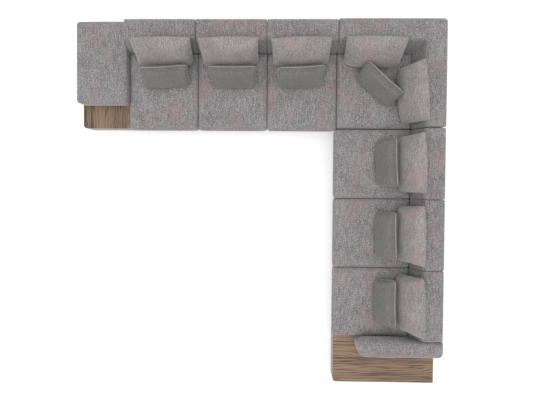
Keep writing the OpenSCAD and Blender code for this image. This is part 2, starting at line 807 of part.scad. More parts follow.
rear_base(0);  // rear_base_1
rear_base(1);  // rear_base_2
rear_base(2);  // rear_base_3
side_base(0);  // side_base_1
side_base(1);  // side_base_2
side_base(2);  // side_base_3
corner_base();
left_end_base();
right_end_base();
rear_frame(0);  // rear_frame_1
rear_frame(1);  // rear_frame_2
rear_frame(2);  // rear_frame_3
side_frame(0);  // side_frame_1
side_frame(1);  // side_frame_2
side_frame(2);  // side_frame_3
corner_frame();
left_end_frame();
right_end_frame();
rear_seat(0);  // rear_seat_1
rear_seat(1);  // rear_seat_2
rear_seat(2);  // rear_seat_3
side_seat(0);  // side_seat_1
side_seat(1);  // side_seat_2
side_seat(2);  // side_seat_3
rear_run() corner_seat();
rear_back(0);  // rear_back_1
rear_back(1);  // rear_back_2
rear_back(2);  // rear_back_3
side_back(0);  // side_back_1
side_back(1);  // side_back_2
side_back(2);  // side_back_3
rear_run() corner_back();
left_end_top();
right_end_top();
left_arm();
right_arm();
rear_cushion(0);  // rear_cushion_1
rear_cushion(1);  // rear_cushion_2
rear_cushion(2);  // rear_cushion_3
side_cushion(0);  // side_cushion_1
side_cushion(1);  // side_cushion_2
side_cushion(2);  // side_cushion_3
corner_rear_cushion();
corner_side_cushion();
rear_lumbar(0);  // rear_lumbar_1
rear_lumbar(1);  // rear_lumbar_2
rear_lumbar(2);  // rear_lumbar_3
side_lumbar(0);  // side_lumbar_1
side_lumbar(1);  // side_lumbar_2
side_lumbar(2);  // side_lumbar_3
corner_lumbar();
seat_webbing();
back_panels();
dust_covers();
glide_feet();
link_plates();
link_bolts();
arm_pegs();
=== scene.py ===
# %% [markdown]
# # An L-shaped sofa of separate units
# The sofa stands on the floor as three straight seats along the rear, a square corner seat, three straight
# seats along the side, and a low end unit with a walnut top at each end of the L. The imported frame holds
# every piece at its real size, in metres. This script dresses that frame: it models the upholstery as
# fabric over foam, inflates the cushions with a cloth simulation, and gives every piece its finish.

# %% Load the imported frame
import json
import math

import bmesh
import bpy
import numpy as np
from mathutils import Matrix, Vector

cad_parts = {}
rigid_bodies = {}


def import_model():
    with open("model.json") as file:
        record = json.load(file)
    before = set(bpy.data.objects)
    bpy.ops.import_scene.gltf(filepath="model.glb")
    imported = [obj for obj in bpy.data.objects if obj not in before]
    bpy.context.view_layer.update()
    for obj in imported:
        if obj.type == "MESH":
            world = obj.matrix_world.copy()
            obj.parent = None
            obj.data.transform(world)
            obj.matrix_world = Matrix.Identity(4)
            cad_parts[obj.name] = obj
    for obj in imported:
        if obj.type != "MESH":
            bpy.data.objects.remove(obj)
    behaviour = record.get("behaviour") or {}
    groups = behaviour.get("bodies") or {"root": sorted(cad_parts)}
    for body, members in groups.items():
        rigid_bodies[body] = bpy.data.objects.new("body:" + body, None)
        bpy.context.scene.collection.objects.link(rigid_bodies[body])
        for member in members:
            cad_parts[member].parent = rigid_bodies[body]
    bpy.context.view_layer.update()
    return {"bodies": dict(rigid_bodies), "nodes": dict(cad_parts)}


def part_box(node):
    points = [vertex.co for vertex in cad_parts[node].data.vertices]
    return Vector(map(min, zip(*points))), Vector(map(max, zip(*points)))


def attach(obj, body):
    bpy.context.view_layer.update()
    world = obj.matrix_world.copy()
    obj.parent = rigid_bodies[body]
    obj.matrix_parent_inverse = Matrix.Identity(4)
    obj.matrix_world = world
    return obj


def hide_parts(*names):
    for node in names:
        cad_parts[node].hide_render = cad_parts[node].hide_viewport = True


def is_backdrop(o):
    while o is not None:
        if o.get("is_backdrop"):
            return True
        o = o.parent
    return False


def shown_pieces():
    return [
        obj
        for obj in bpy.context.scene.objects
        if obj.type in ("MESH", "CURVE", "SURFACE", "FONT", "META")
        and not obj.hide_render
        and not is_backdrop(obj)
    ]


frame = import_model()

scene = bpy.context.scene

# %% [markdown]
# ## Where the pieces belong
# The frame's boxes give every place and size, so nothing is fitted by eye. The two runs are the same
# upholstery: the side run is the rear run turned a quarter. So each straight piece is modelled once, at the
# first rear unit, and copied to its five neighbours, each copy with a mesh of its own.

# %% Names of the units, and how to copy a piece to another
STRAIGHT = [f"{run}_{{}}_{number}" for run in ("rear", "side") for number in (1, 2, 3)]
QUARTER = math.pi / 2


def middle_of(node):
    low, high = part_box(node)
    return (low + high) / 2


def copy_for(unit, kind, piece, ending):
    """Copies the first rear unit's finished piece to another unit, turned a quarter in the side run.
    Returns the CAD node that the copy stands for, and the copy."""
    node = unit.format(kind)
    copy = piece.copy()
    copy.data = piece.data.copy()
    copy.name = copy.data.name = node + ending
    scene.collection.objects.link(copy)
    turn = -QUARTER if unit.startswith("side") else 0
    to_place = Matrix.Translation(middle_of(node)) @ Matrix.Rotation(turn, 4, "Z")
    copy.data.transform(to_place @ Matrix.Translation(-middle_of(f"rear_{kind}_1")))
    return node, copy


# %% How the backrests lean
BACK_TOP_DEPTH = 0.210
SEAT_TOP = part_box("rear_seat_1")[1].z
back_low, back_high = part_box("rear_back_1")
LEAN_SHIFT = back_high.y - back_low.y - BACK_TOP_DEPTH
BACK_LEAN = math.atan(LEAN_SHIFT / (back_high.z - SEAT_TOP))
print("seats", round(SEAT_TOP, 3), "high, and backrests lean by", round(math.degrees(BACK_LEAN), 1), "degrees")

# %% [markdown]
# ## Fabric: a melange with loops, slubs and patches
# Seen close, this cloth is a boucle: small loops of yarn, a few millimetres across, that stand up from the
# ground weave. Thicker lengths of yarn, called slubs, and light knots, called neps, run through it, and
# broad patches lean towards pink.
# A photograph of cloth could be wrapped round each cushion, but it would stretch and show its seams. Solid
# noise, read from Object coordinates, runs through the volume, so that it fits any shape without a seam.
# The effect is one node group, used by four fabrics with their own colours and yarn sizes.

# %% Helpers for node trees
def set_all(item, **values):
    """Sets several properties of a Blender item."""
    for label, value in values.items():
        setattr(item, label, value)


def add_node(tree, kind, values=None, **settings):
    """Adds a node with its settings. Its inputs, by name or number, get a value or another socket."""
    node = tree.nodes.new(kind)
    set_all(node, **settings)
    for label, value in (values or {}).items():
        if isinstance(value, bpy.types.NodeSocket):
            tree.links.new(value, node.inputs[label])
        else:
            node.inputs[label].default_value = value
    return node


def math_node(tree, operation, *operands):
    """Adds a Math node. Each operand is a number or the socket that feeds it."""
    return add_node(tree, "ShaderNodeMath", dict(enumerate(operands)), operation=operation).outputs[0]


def total_of(tree, *parts):
    """Adds up parts, each a number, a socket, or a pair of a socket and what it is multiplied by."""
    total = None
    for part in parts:
        if isinstance(part, tuple):
            part = math_node(tree, "MULTIPLY", *part)
        total = part if total is None else math_node(tree, "ADD", total, part)
    return total


def mix_colors(tree, factor, first, second):
    """Adds a colour Mix node. Factor and colours are values or the sockets that feed them."""
    return add_node(tree, "ShaderNodeMix", {0: factor, 6: first, 7: second}, data_type="RGBA").outputs[2]


def between(tree, value, low, high, to_low=0.0, to_high=1.0):
    """Stretches the part of a value from low to high over to_low to to_high, smoothly and clamped."""
    ends = {0: value, 1: low, 2: high, 3: to_low, 4: to_high}
    return add_node(tree, "ShaderNodeMapRange", ends, interpolation_type="SMOOTHSTEP").outputs[0]


# %% Solid noise, tilted
TILT = (0.6, 0.4, 0.3)


def noise(tree, vector, scale, detail=2.0, roughness=0.5, stretch=None):
    """Solid noise with features about 1/scale across, longer along the axes where stretch is below 1.
    It is tilted after it is stretched, because a level face along its grid would show less contrast."""
    if stretch is not None:
        tilted = add_node(tree, "ShaderNodeMapping", {"Vector": vector, "Rotation": TILT, "Scale": stretch})
        vector = tilted.outputs[0]
    values = {"Vector": vector, "Scale": scale, "Detail": detail, "Roughness": roughness}
    return add_node(tree, "ShaderNodeTexNoise", values).outputs[0]


# %% Start and end a node group
def new_group(name, **inputs):
    """Starts a node group with its inputs' labels by kind, and returns it with its input and output nodes.
    Every group here puts out a colour, the height of its relief and a roughness."""
    group = bpy.data.node_groups.new(name, "ShaderNodeTree")
    for kind, labels in inputs.items():
        for label in labels:
            group.interface.new_socket(name=label, in_out="INPUT", socket_type="NodeSocket" + kind)
    for label, kind in (("Color", "Color"), ("Height", "Float"), ("Roughness", "Float")):
        group.interface.new_socket(name=label, in_out="OUTPUT", socket_type="NodeSocket" + kind)
    return group, group.nodes.new("NodeGroupInput").outputs, group.nodes.new("NodeGroupOutput").inputs


def put_out(group, outs, color, height, roughness):
    """Links what a group has made to its outputs."""
    for label, socket in (("Color", color), ("Height", height), ("Roughness", roughness)):
        group.links.new(socket, outs[label])
    print(group.name, "has", len(group.nodes), "nodes")


# %% The weave as one node group
# How much each effect lightens the yarn, where 0 is its dark tone and 1 its light one.
SLUB_LIGHT, LONG_LIGHT, YARN_MIDDLE = 0.72, 0.30, 0.50
LOOP_LIGHT, BROAD_LIGHT, NEP_LIGHT, OVERALL = 0.35, 0.40, 1.20, -0.06
YARN_NOISE, NEP_NOISE, PATCH_NOISE = (0.28, 0.72), (0.60, 0.72), (0.50, 0.70)
NEPS_PER_METRE, PATCHES_PER_METRE = 120.0, 5.0

weave, ins, outs = new_group(
    "melange_weave", Vector=("Vector", "Yarn stretch"), Color=("Dark yarn", "Light yarn", "Blush yarn"),
    Float=("Loops per metre", "Slubs per metre", "Slub contrast", "Blush"))
vector, slubs_per_metre = ins["Vector"], ins["Slubs per metre"]
loops = add_node(
    weave, "ShaderNodeTexVoronoi", {"Vector": vector, "Scale": ins["Loops per metre"], "Randomness": 0.85},
    feature="SMOOTH_F1")
loop_height = math_node(weave, "SUBTRACT", 1.0, loops.outputs["Distance"])
slub = noise(weave, vector, slubs_per_metre, 2.5, 0.65, (1.0, 0.92, 0.95))
slub = between(weave, slub, *YARN_NOISE)
long_yarn = noise(weave, vector, slubs_per_metre, 2.0, 0.65, ins["Yarn stretch"])
long_yarn = between(weave, long_yarn, *YARN_NOISE)
nep = noise(weave, vector, NEPS_PER_METRE, 1.0, stretch=(1.1, 0.7, 0.8))
nep = between(weave, nep, *NEP_NOISE)
patches = noise(weave, vector, PATCHES_PER_METRE, 3.0, 0.6, (1.0, 0.6, 0.8))
patches = between(weave, patches, *PATCH_NOISE)
broad = noise(weave, vector, PATCHES_PER_METRE)

both_yarns = total_of(weave, (slub, SLUB_LIGHT), (long_yarn, LONG_LIGHT), -YARN_MIDDLE)
yarn = total_of(weave, (both_yarns, ins["Slub contrast"]), (loop_height, LOOP_LIGHT), (broad, BROAD_LIGHT),
                (nep, NEP_LIGHT), OVERALL)
tone = mix_colors(weave, between(weave, yarn, 0.0, 1.0), ins["Dark yarn"], ins["Light yarn"])
blush = math_node(weave, "MULTIPLY", math_node(weave, "MULTIPLY", patches, long_yarn), ins["Blush"])
put_out(weave, outs, mix_colors(weave, blush, tone, ins["Blush yarn"]),
        total_of(weave, loop_height, (slub, 0.4)), between(weave, slub, 0.0, 1.0, 0.98, 0.86))

# %% [markdown]
# ## From the weave to a fabric
# A shader node group may only put out colours, values and normals here, so the Principled BSDF stays in the
# material. Sheen is the bright haze that fibre ends give a fabric seen at a low angle, and it is a plain
# number on the shader's own socket, because it is the same all over.

# %% From numbers to a material
def srgb(red, green, blue):
    """A colour as a screen shows it, 0 to 255, turned into the linear values that a shader takes."""
    channels = [value / 255 for value in (red, green, blue)]
    linear = [c / 12.92 if c <= 0.04045 else ((c + 0.055) / 1.055) ** 2.4 for c in channels]
    return (*linear, 1.0)


def new_material(name, roughness, **uniform):
    """Starts a material. Numbers that are the same all over are set on the shader's own sockets."""
    material = bpy.data.materials.new(name)
    material.use_nodes = True
    tree = material.node_tree
    shader = tree.nodes["Principled BSDF"]
    shader.inputs["Roughness"].default_value = roughness
    for label, value in uniform.items():
        shader.inputs[label.replace("_", " ")].default_value = value
    place = tree.nodes.new("ShaderNodeTexCoord").outputs["Object"]
    return material, tree, shader, place


def feed(tree, shader, color, height, roughness, depth, strength=1.0):
    """Links a finish to a shader. A height of 1 raises the surface by depth metres, as shading."""
    bump = add_node(tree, "ShaderNodeBump", {"Height": height, "Strength": strength, "Distance": depth})
    for label, socket in (("Base Color", color), ("Roughness", roughness), ("Normal", bump.outputs[0])):
        tree.links.new(socket, shader.inputs[label])


# %% The four fabrics
# The long yarns run front to back on the sofa's level faces, and also down the slope of a cushion.
LEVEL_YARNS, SLOPING_YARNS = (1.1, 0.05, 0.9), (1.0, 0.05, 0.1)


def fabric(name, yarns, blush, loops, slubs, contrast, stretch, depth, sheen):
    """A cloth of dark, light and blush yarns, with so many loops and slubs to the metre."""
    material, tree, shader, place = new_material(
        name, 0.93, Sheen_Weight=sheen, Sheen_Roughness=0.45, Specular_IOR_Level=0.2)
    dark, light, blush_yarn = [srgb(*yarn) for yarn in yarns]
    cloth = add_node(tree, "ShaderNodeGroup", {
        "Vector": place, "Dark yarn": dark, "Light yarn": light, "Blush yarn": blush_yarn, "Blush": blush,
        "Loops per metre": loops, "Slubs per metre": slubs, "Slub contrast": contrast,
        "Yarn stretch": stretch}, node_tree=weave)
    feed(tree, shader, *cloth.outputs, depth)
    return material


sofa_fabric = fabric(
    "sofa_boucle", ((104, 100, 101), (190, 185, 186), (166, 138, 141)), blush=0.75, loops=380.0,
    slubs=200.0, contrast=1.65, stretch=LEVEL_YARNS, depth=0.0009, sheen=0.45)
cushion_fabric = fabric(
    "cushion_boucle", ((125, 119, 119), (194, 186, 186), (176, 148, 150)), blush=1.0, loops=420.0,
    slubs=215.0, contrast=1.2, stretch=SLOPING_YARNS, depth=0.0008, sheen=0.45)
lumbar_fabric = fabric(
    "lumbar_weave", ((108, 107, 104), (146, 144, 142), (134, 130, 127)), blush=0.1, loops=650.0,
    slubs=240.0, contrast=0.8, stretch=SLOPING_YARNS, depth=0.0005, sheen=0.3)
piping_fabric = fabric(
    "piping_weave", ((158, 157, 154), (206, 205, 201), (184, 181, 177)), blush=0.1, loops=650.0,
    slubs=300.0, contrast=0.4, stretch=SLOPING_YARNS, depth=0.0003, sheen=0.2)

# %% [markdown]
# ## Walnut veneer and the hidden woods
# Walnut grain is made of year rings cut lengthwise: lines that run with the board, arches and closed loops
# where the cut passes the heart of the tree, and short dark pores. A Wave texture gives even bands only.
# Here the rings are the contour lines of a soft noise that is stretched along the grain, which gives the
# arches and loops too. The tops and the frame timber share this group, with the grain along its X axis.

# %% The grain as one node group
grain, ins, outs = new_group(
    "wood_grain", Vector=("Vector",), Color=("Dark wood", "Mid wood", "Light wood"),
    Float=("Rings per metre", "Figure", "Pores"))
vector = ins["Vector"]
coords = add_node(grain, "ShaderNodeSeparateXYZ", {0: vector}).outputs
across_board = total_of(grain, coords["Y"], coords["Z"])
heart = noise(grain, vector, 5.0, 2.0, 0.65, (0.17, 1.0, 1.0))
ring_height = total_of(grain, (across_board, ins["Rings per metre"]), (heart, ins["Figure"]))
late_wood = between(grain, math_node(grain, "FRACT", ring_height), 0.35, 0.97)
fibre = noise(grain, vector, 230.0, 3.0, 0.65, (0.022, 1.0, 1.0))
streak = noise(grain, vector, 80.0, stretch=(0.03, 1.0, 1.0))
board_tone = noise(grain, vector, 8.0, 1.0, stretch=(0.06, 1.0, 0.2))
pore = noise(grain, vector, 620.0, 1.0, stretch=(0.04, 1.0, 1.0))

# The late wood darkens the board. Streaks, fibres and the board's own tone darken or lighten it.
darkness = total_of(
    grain, (late_wood, 0.68), between(grain, streak, 0.42, 0.66, -0.2, 0.5),
    between(grain, fibre, 0.3, 0.72, -0.1, 0.2), between(grain, board_tone, 0.35, 0.65, 0.22, -0.1))
base = mix_colors(grain, between(grain, darkness, 0.0, 1.0), ins["Mid wood"], ins["Dark wood"])
base = mix_colors(grain, between(grain, board_tone, 0.5, 0.75, 0.0, 0.6), base, ins["Light wood"])
pore_mask = math_node(grain, "MULTIPLY", between(grain, pore, 0.6, 0.72), ins["Pores"])
put_out(grain, outs, mix_colors(grain, pore_mask, base, ins["Dark wood"]),
        math_node(grain, "SUBTRACT", fibre, pore_mask), between(grain, fibre, 0.3, 0.7, 0.5, 0.4))


# %% The woods
def wood(name, tones, rings, figure, pores, depth, turn=0.0):
    """A wood of dark, mid and light tones, whose grain runs along X, or along Y where turn is a quarter."""
    material, tree, shader, place = new_material(name, 0.45)
    turned = add_node(tree, "ShaderNodeMapping", {"Vector": place, "Rotation": (0.0, 0.0, turn)})
    dark, mid, light = [srgb(*tone) for tone in tones]
    board = add_node(tree, "ShaderNodeGroup", {
        "Vector": turned.outputs[0], "Dark wood": dark, "Mid wood": mid, "Light wood": light,
        "Rings per metre": rings, "Figure": figure, "Pores": pores}, node_tree=grain)
    feed(tree, shader, *board.outputs, depth, strength=0.6)
    return material


walnut_across = wood(
    "walnut_along_x", ((76, 52, 30), (148, 119, 91), (163, 132, 103)), rings=42.0, figure=9.0,
    pores=0.15, depth=0.0004)
walnut_lengthwise = wood(
    "walnut_along_y", ((60, 42, 23), (141, 111, 86), (160, 131, 104)), rings=34.0, figure=12.0,
    pores=0.9, depth=0.0004, turn=QUARTER)
frame_timber = wood(
    "frame_timber", ((176, 134, 88), (205, 170, 124), (220, 190, 148)), rings=60.0, figure=6.0,
    pores=0.2, depth=0.0006)

# %% [markdown]
# ## The finishes underneath
# Webbing, dust cloth, glides and links hardly show, but each gets the surface it has: woven ribs on the
# straps, matted fibres on the non-woven cloth, the fine orange peel of moulded plastic, and the streaks of
# zinc-plated steel.

# %% Small finishes
def speckled(name, dark, light, scale, depth, roughness, stretch=(1.0, 1.0, 1.0), ribs=0.0, metallic=0.0):
    """A plain finish: two tones mixed by noise, with the same noise as relief, and ribs where asked for."""
    material, tree, shader, place = new_material(name, roughness, Metallic=metallic)
    grit = height = noise(tree, place, scale, 3.0, stretch=stretch)
    if ribs:
        wave = add_node(tree, "ShaderNodeTexWave", {"Vector": place, "Scale": ribs, "Distortion": 0.4},
                        bands_direction="DIAGONAL")
        height = math_node(tree, "MULTIPLY", total_of(tree, grit, wave.outputs["Fac"]), 0.5)
    tone = mix_colors(tree, between(tree, height, 0.3, 0.7), srgb(*dark), srgb(*light))
    worn = between(tree, grit, 0.3, 0.7, roughness - 0.06, min(roughness + 0.06, 1.0))
    feed(tree, shader, tone, height, worn, depth)
    return material


webbing_weave = speckled("webbing_weave", (34, 34, 36), (62, 60, 58), 300.0, 0.0008, 0.85, ribs=90.0)
dust_cloth = speckled("dust_cloth", (40, 40, 42), (58, 58, 60), 240.0, 0.0004, 0.92)
glide_plastic = speckled("glide_plastic", (26, 26, 28), (38, 38, 40), 700.0, 0.0002, 0.5)
link_steel = speckled(
    "link_steel", (150, 151, 154), (190, 191, 194), 160.0, 0.0001, 0.36, (0.05, 1.0, 1.0), metallic=1.0)

# %% [markdown]
# ## How the pieces are modelled
# Every new piece starts as a primitive at its size and place, and is shaped in edit mode as by hand. An
# operator acts on all that is selected, so `pick` first deselects everything and then selects faces, edges
# or vertices by their place.

# %% Start a box and pick parts of it
NEAR = 1e-4


def only(piece):
    """Makes piece the one selected and active object."""
    bpy.ops.object.select_all(action="DESELECT")
    piece.select_set(True)
    bpy.context.view_layer.objects.active = piece


def edit_all(piece):
    """Opens a piece in edit mode, with all of it selected."""
    only(piece)
    bpy.ops.object.mode_set(mode="EDIT")
    bpy.ops.mesh.select_all(action="SELECT")


def start_box(name, low, high):
    """Adds a cube and gives it the size and place of the box from low to high, in its mesh."""
    bpy.ops.object.select_all(action="DESELECT")
    bpy.ops.mesh.primitive_cube_add(size=1, location=(0, 0, 0))
    piece = bpy.context.object
    piece.name = piece.data.name = name
    edit_all(piece)
    bpy.ops.transform.resize(value=high - low)
    bpy.ops.transform.translate(value=(low + high) / 2)
    return piece


def corners_of(item):
    """The place of a vertex, or the places of the corners of an edge or a face."""
    return [item.co] if isinstance(item, bmesh.types.BMVert) else [vert.co for vert in item.verts]


def pick(piece, kind, test):
    """In edit mode, selects only the VERT, EDGE or FACE items whose corners pass the test."""
    bpy.ops.mesh.select_mode(type=kind)
    bpy.ops.mesh.select_all(action="DESELECT")
    shape = bmesh.from_edit_mesh(piece.data)
    for item in {"VERT": shape.verts, "EDGE": shape.edges, "FACE": shape.faces}[kind]:
        if test(corners_of(item)):
            item.select_set(True)
    bmesh.update_edit_mesh(piece.data)


def at(x=None, y=None, z=None):
    """A test that passes where all the corners have those coordinates, each a number or a pair of limits."""
    wanted = [(axis, *value) if isinstance(value, tuple) else (axis, value, value)
              for axis, value in enumerate((x, y, z)) if value is not None]
    return lambda corners: all(
        low - NEAR < co[axis] < high + NEAR for axis, low, high in wanted for co in corners)


def either(first, second):
    """A test that passes where one of two does."""
    return lambda corners: first(corners) or second(corners)


# %% Round edges and use modifiers
def round_edges(piece, test, radius, steps):
    """Bevels the edges that pass the test."""
    pick(piece, "EDGE", test)
    bpy.ops.mesh.bevel(offset=radius, offset_type="OFFSET", segments=steps, profile=0.5, affect="EDGES")


def round_uprights(piece, low, high, radii, steps):
    """Bevels a box's upright edges: front left, front right, rear left and rear right."""
    corners = [(low.x, low.y), (high.x, low.y), (low.x, high.y), (high.x, high.y)]
    for (x, y), radius in zip(corners, radii):
        round_edges(piece, at(x, y), radius, steps)


def add_modifier(piece, kind, **values):
    modifier = piece.modifiers.new(kind.lower(), kind)
    set_all(modifier, **values)
    return modifier


def use_modifier(piece, kind, **values):
    """Adds a modifier and applies it."""
    only(piece)
    bpy.ops.object.modifier_apply(modifier=add_modifier(piece, kind, **values).name)


# %% Read and write a mesh's places
def points_of(piece):
    """The places of a mesh's vertices, as rows of x, y, z."""
    flat = np.empty(len(piece.data.vertices) * 3, dtype=np.float32)
    piece.data.vertices.foreach_get("co", flat)
    return flat.reshape(-1, 3)


def set_points(piece, places):
    piece.data.vertices.foreach_set("co", places.ravel())
    piece.data.update()


# %% [markdown]
# ## Foam blocks under fabric
# A seat, backrest or arm is a foam block that its cover squeezes a little, so that the faces swell between
# the edges. The block is remeshed to even squares, a cloth simulation pushes it outwards from inside, and a
# limit for each side keeps the swelling to what firm foam shows: most on a side that is free, and almost
# none on a side that meets a neighbour. The lowest vertices are pinned, where the block rests.

# %% Cloth settings for a stuffed piece
FRAMES = 12
CLOSE = 0.0008
STUFFING = dict(
    quality=5, mass=0.3, use_pressure=True, tension_stiffness=15, compression_stiffness=15,
    shear_stiffness=6, bending_stiffness=0.5, air_damping=1)
FOAM_PRESSURE, CUSHION_PRESSURE = 0.6, 4.0


def stuff(piece, pressure, pin_below=None):
    """Gives a piece a Cloth modifier that inflates it, with its lowest vertices pinned where asked."""
    cloth = piece.modifiers.new("stuffing", "CLOTH")
    set_all(cloth.settings, **STUFFING, uniform_pressure_force=pressure)
    cloth.settings.effector_weights.gravity = 0
    set_all(cloth.collision_settings, use_collision=False, use_self_collision=False)
    if pin_below is not None:
        low = [vert.index for vert in piece.data.vertices if vert.co.z < pin_below]
        piece.vertex_groups.new(name="pins").add(low, 1.0, "REPLACE")
        cloth.settings.vertex_group_mass = "pins"


def settle(pieces):
    """Steps the simulation once for all the pieces together, and applies it."""
    for number in range(1, FRAMES + 1):
        scene.frame_set(number)
    for piece in pieces:
        only(piece)
        bpy.ops.object.modifier_apply(modifier="stuffing")
    scene.frame_set(1)


# %% Shape what has swelled
ROLL_FROM, ROLL_EASE = 0.05, 0.03


def swell_within(before, after, limits):
    """Eases the way that each point swelled into a limit for each side: left, right, front, rear and up."""
    left, right, front, rear, up = limits
    way = after - before
    limit = np.where(way > 0, np.array([right, rear, up]), np.array([left, front, CLOSE]))
    return before + limit * np.tanh(way / limit)


def roll_edges(node, places, depth, width):
    """Lets the upper face of a block fall away softly towards its edges, by depth over that width."""
    low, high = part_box(node)
    to_edge = np.minimum(
        np.minimum(places[:, 0] - low.x, high.x - places[:, 0]),
        np.minimum(places[:, 1] - low.y, high.y - places[:, 1]))
    fall = depth * np.clip(1 - to_edge / width, 0, 1) ** 2
    near_top = np.clip((places[:, 2] - (high.z - ROLL_FROM)) / ROLL_EASE, 0, 1)
    out = places.copy()
    out[:, 2] -= fall * near_top
    return out


def fill_out(places, node, sides):
    """Eases the left, right, front and rear halves of a block outwards by those distances."""
    low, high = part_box(node)
    out = places.copy()
    for axis, (near, far) in enumerate((sides[:2], sides[2:])):
        away = (places[:, axis] - (low[axis] + high[axis]) / 2) / (high[axis] - low[axis]) * 2
        out[:, axis] += far * np.clip(away, 0, 1) ** 2 - near * np.clip(-away, 0, 1) ** 2
    return out


# %% [markdown]
# ## Seats
# A seat pad is a foam block with rounded upper edges and small radii at its front corners. From above, the
# dark lines between the units are simply the grooves where two rounded edges meet. The straight seats' fronts
# bulge out a little over their bases, most of all half-way up, and where the two runs meet, each front gives
# way to the other. The corner's pad is the same block, nearly square, with small radii all round.

# %% Shape the straight seat and the corner seat
FRONT_RADIUS, REAR_RADIUS, RIM_RADIUS, FOOT_RADIUS = 0.020, 0.012, 0.014, 0.006
RIM_STEPS, FOOT_STEPS = 5, 2
STRAIGHT_RADII = (FRONT_RADIUS, FRONT_RADIUS, REAR_RADIUS, REAR_RADIUS)
SEAT_CROWN = 0.007
FINE = 0.010


def finish_foam(block, foot):
    """Rounds a block's lower edge, leaves edit mode and remeshes the block to even squares."""
    round_edges(block, at(z=foot), FOOT_RADIUS, FOOT_STEPS)
    bpy.ops.object.mode_set(mode="OBJECT")
    only(block)
    block.data.remesh_voxel_size = FINE
    bpy.ops.object.voxel_remesh()
    print(block.name, "has", len(block.data.vertices), "points")
    return block


def foam_block(name, node, corner_radii, rim_radius, crown, ends=(0.0, 0.0)):
    """Models a soft block just inside a node's box: upright corners first, then the upper rim."""
    low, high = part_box(node)
    low, high = low + Vector((CLOSE + ends[0], CLOSE, 0)), high - Vector((CLOSE + ends[1], CLOSE, crown))
    block = start_box(name, low, high)
    round_uprights(block, low, high, corner_radii, RIM_STEPS)
    round_edges(block, at(z=high.z), rim_radius, RIM_STEPS)
    return finish_foam(block, low.z)


seat = foam_block("rear_seat_1_pad", "rear_seat_1", STRAIGHT_RADII, RIM_RADIUS, SEAT_CROWN)
corner_seat = foam_block("corner_seat_pad", "corner_seat", (REAR_RADIUS,) * 4, RIM_RADIUS, SEAT_CROWN)

# %% Let the seats' fronts bulge
BOW_FOOT, BOW_MIDDLE, BOW_DEPTH = 0.008, 0.020, 0.25
CORNER_GIVE = 0.028


def bow_front(places, node):
    """Lets a rear seat's front stand out by BOW_FOOT at its lower edge and by BOW_MIDDLE half-way up."""
    low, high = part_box(node)
    height = np.clip((places[:, 2] - low.z) / (high.z - low.z), 0, 1)
    forward = np.clip(1 - (places[:, 1] - low.y) / BOW_DEPTH, 0, 1) ** 2
    out = places.copy()
    out[:, 1] -= (BOW_FOOT + (BOW_MIDDLE - BOW_FOOT) * np.sin(math.pi * height)) * forward
    return out


def clear_inner_corner(places, node, front, along):
    """Keeps a bowed front out of the next one's way, where the two runs meet: front and along are axes."""
    low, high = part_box(node)
    away = (high[along] - places[:, along]) / (2 * CORNER_GIVE)
    limit = low[front] - CORNER_GIVE * (1 - (1 - np.clip(away, 0, 1)) ** 2)
    out = places.copy()
    out[:, front] = np.maximum(places[:, front], np.where(away < 1, limit, -np.inf))
    return out


# %% [markdown]
# ## Arms
# The left end carries a wide, low block that is as soft as a pouffe. The arm at the other end stands on the
# walnut like a thick book on its long edge, with a broad radius at its front end, and bulges over the seat
# beside it. Both are the same kind of foam block as the seats, with their own radii.

# %% Shape the two arms
ARM_CROWN = 0.005
left_arm = foam_block("left_arm_block", "left_arm", (0.036,) * 4, 0.018, ARM_CROWN)
right_arm = foam_block(
    "right_arm_block", "right_arm", (0.080, 0.050, 0.080, 0.018), 0.040, ARM_CROWN, ends=(0.020, -0.009))
ARM_BULGE, BULGE_EASE, BULGE_FROM = 0.030, 0.16, 0.004
BACKREST_ROOM = 0.03


def lean_over_seat(places):
    """Lets the right arm's inner face bulge over the seat, between its front end and the backrest."""
    low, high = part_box("right_arm")
    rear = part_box("side_back_3")[0].x - BACKREST_ROOM
    inward = np.clip((places[:, 1] - (low.y + high.y) / 2) / (high.y - low.y) * 2, 0, 1)
    height = np.clip((places[:, 2] - SEAT_TOP - BULGE_FROM) / (high.z - SEAT_TOP), 0, 1)
    along = np.clip((places[:, 0] - low.x) / BULGE_EASE, 0, 1)
    along *= np.clip((rear - places[:, 0]) / BULGE_EASE, 0, 1)
    out = places.copy()
    out[:, 1] += ARM_BULGE * inward * np.sin(math.pi * height) * np.sin(along * math.pi / 2)
    return out


# %% [markdown]
# ## Backrests
# A backrest is thick at the seat and thinner at the top, because its front face leans back. It starts as a
# box, is cut at seat height, and then its upper front edge moves back. The corner's backrest is extruded
# from a square post into an L, so that it has one unbroken cover, as in the photo.

# %% Shape the straight backrest
BACK_INSET = 0.003
BACK_RADIUS, END_RADIUS, VALLEY_RADIUS, OUTER_RADIUS = 0.024, 0.008, 0.022, 0.034
BACK_STEPS, END_STEPS, VALLEY_STEPS = 5, 3, 4


def ring_at_seat_height():
    bpy.ops.mesh.select_all(action="SELECT")
    bpy.ops.mesh.bisect(plane_co=(0, 0, SEAT_TOP), plane_no=(0, 0, 1))


low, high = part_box("rear_back_1")
low, high = low + Vector((CLOSE, BACK_INSET, 0)), high - Vector((CLOSE, CLOSE, BACK_INSET))
back = start_box("rear_back_1_upholstery", low, high)
ring_at_seat_height()
pick(back, "VERT", at(y=low.y, z=high.z))
bpy.ops.transform.translate(value=(0, LEAN_SHIFT, 0))
upper_edges = either(at(y=low.y + LEAN_SHIFT, z=high.z), at(y=high.y, z=high.z))
round_edges(back, upper_edges, BACK_RADIUS, BACK_STEPS)
round_edges(back, either(at(x=low.x), at(x=high.x)), END_RADIUS, END_STEPS)
finish_foam(back, low.z)

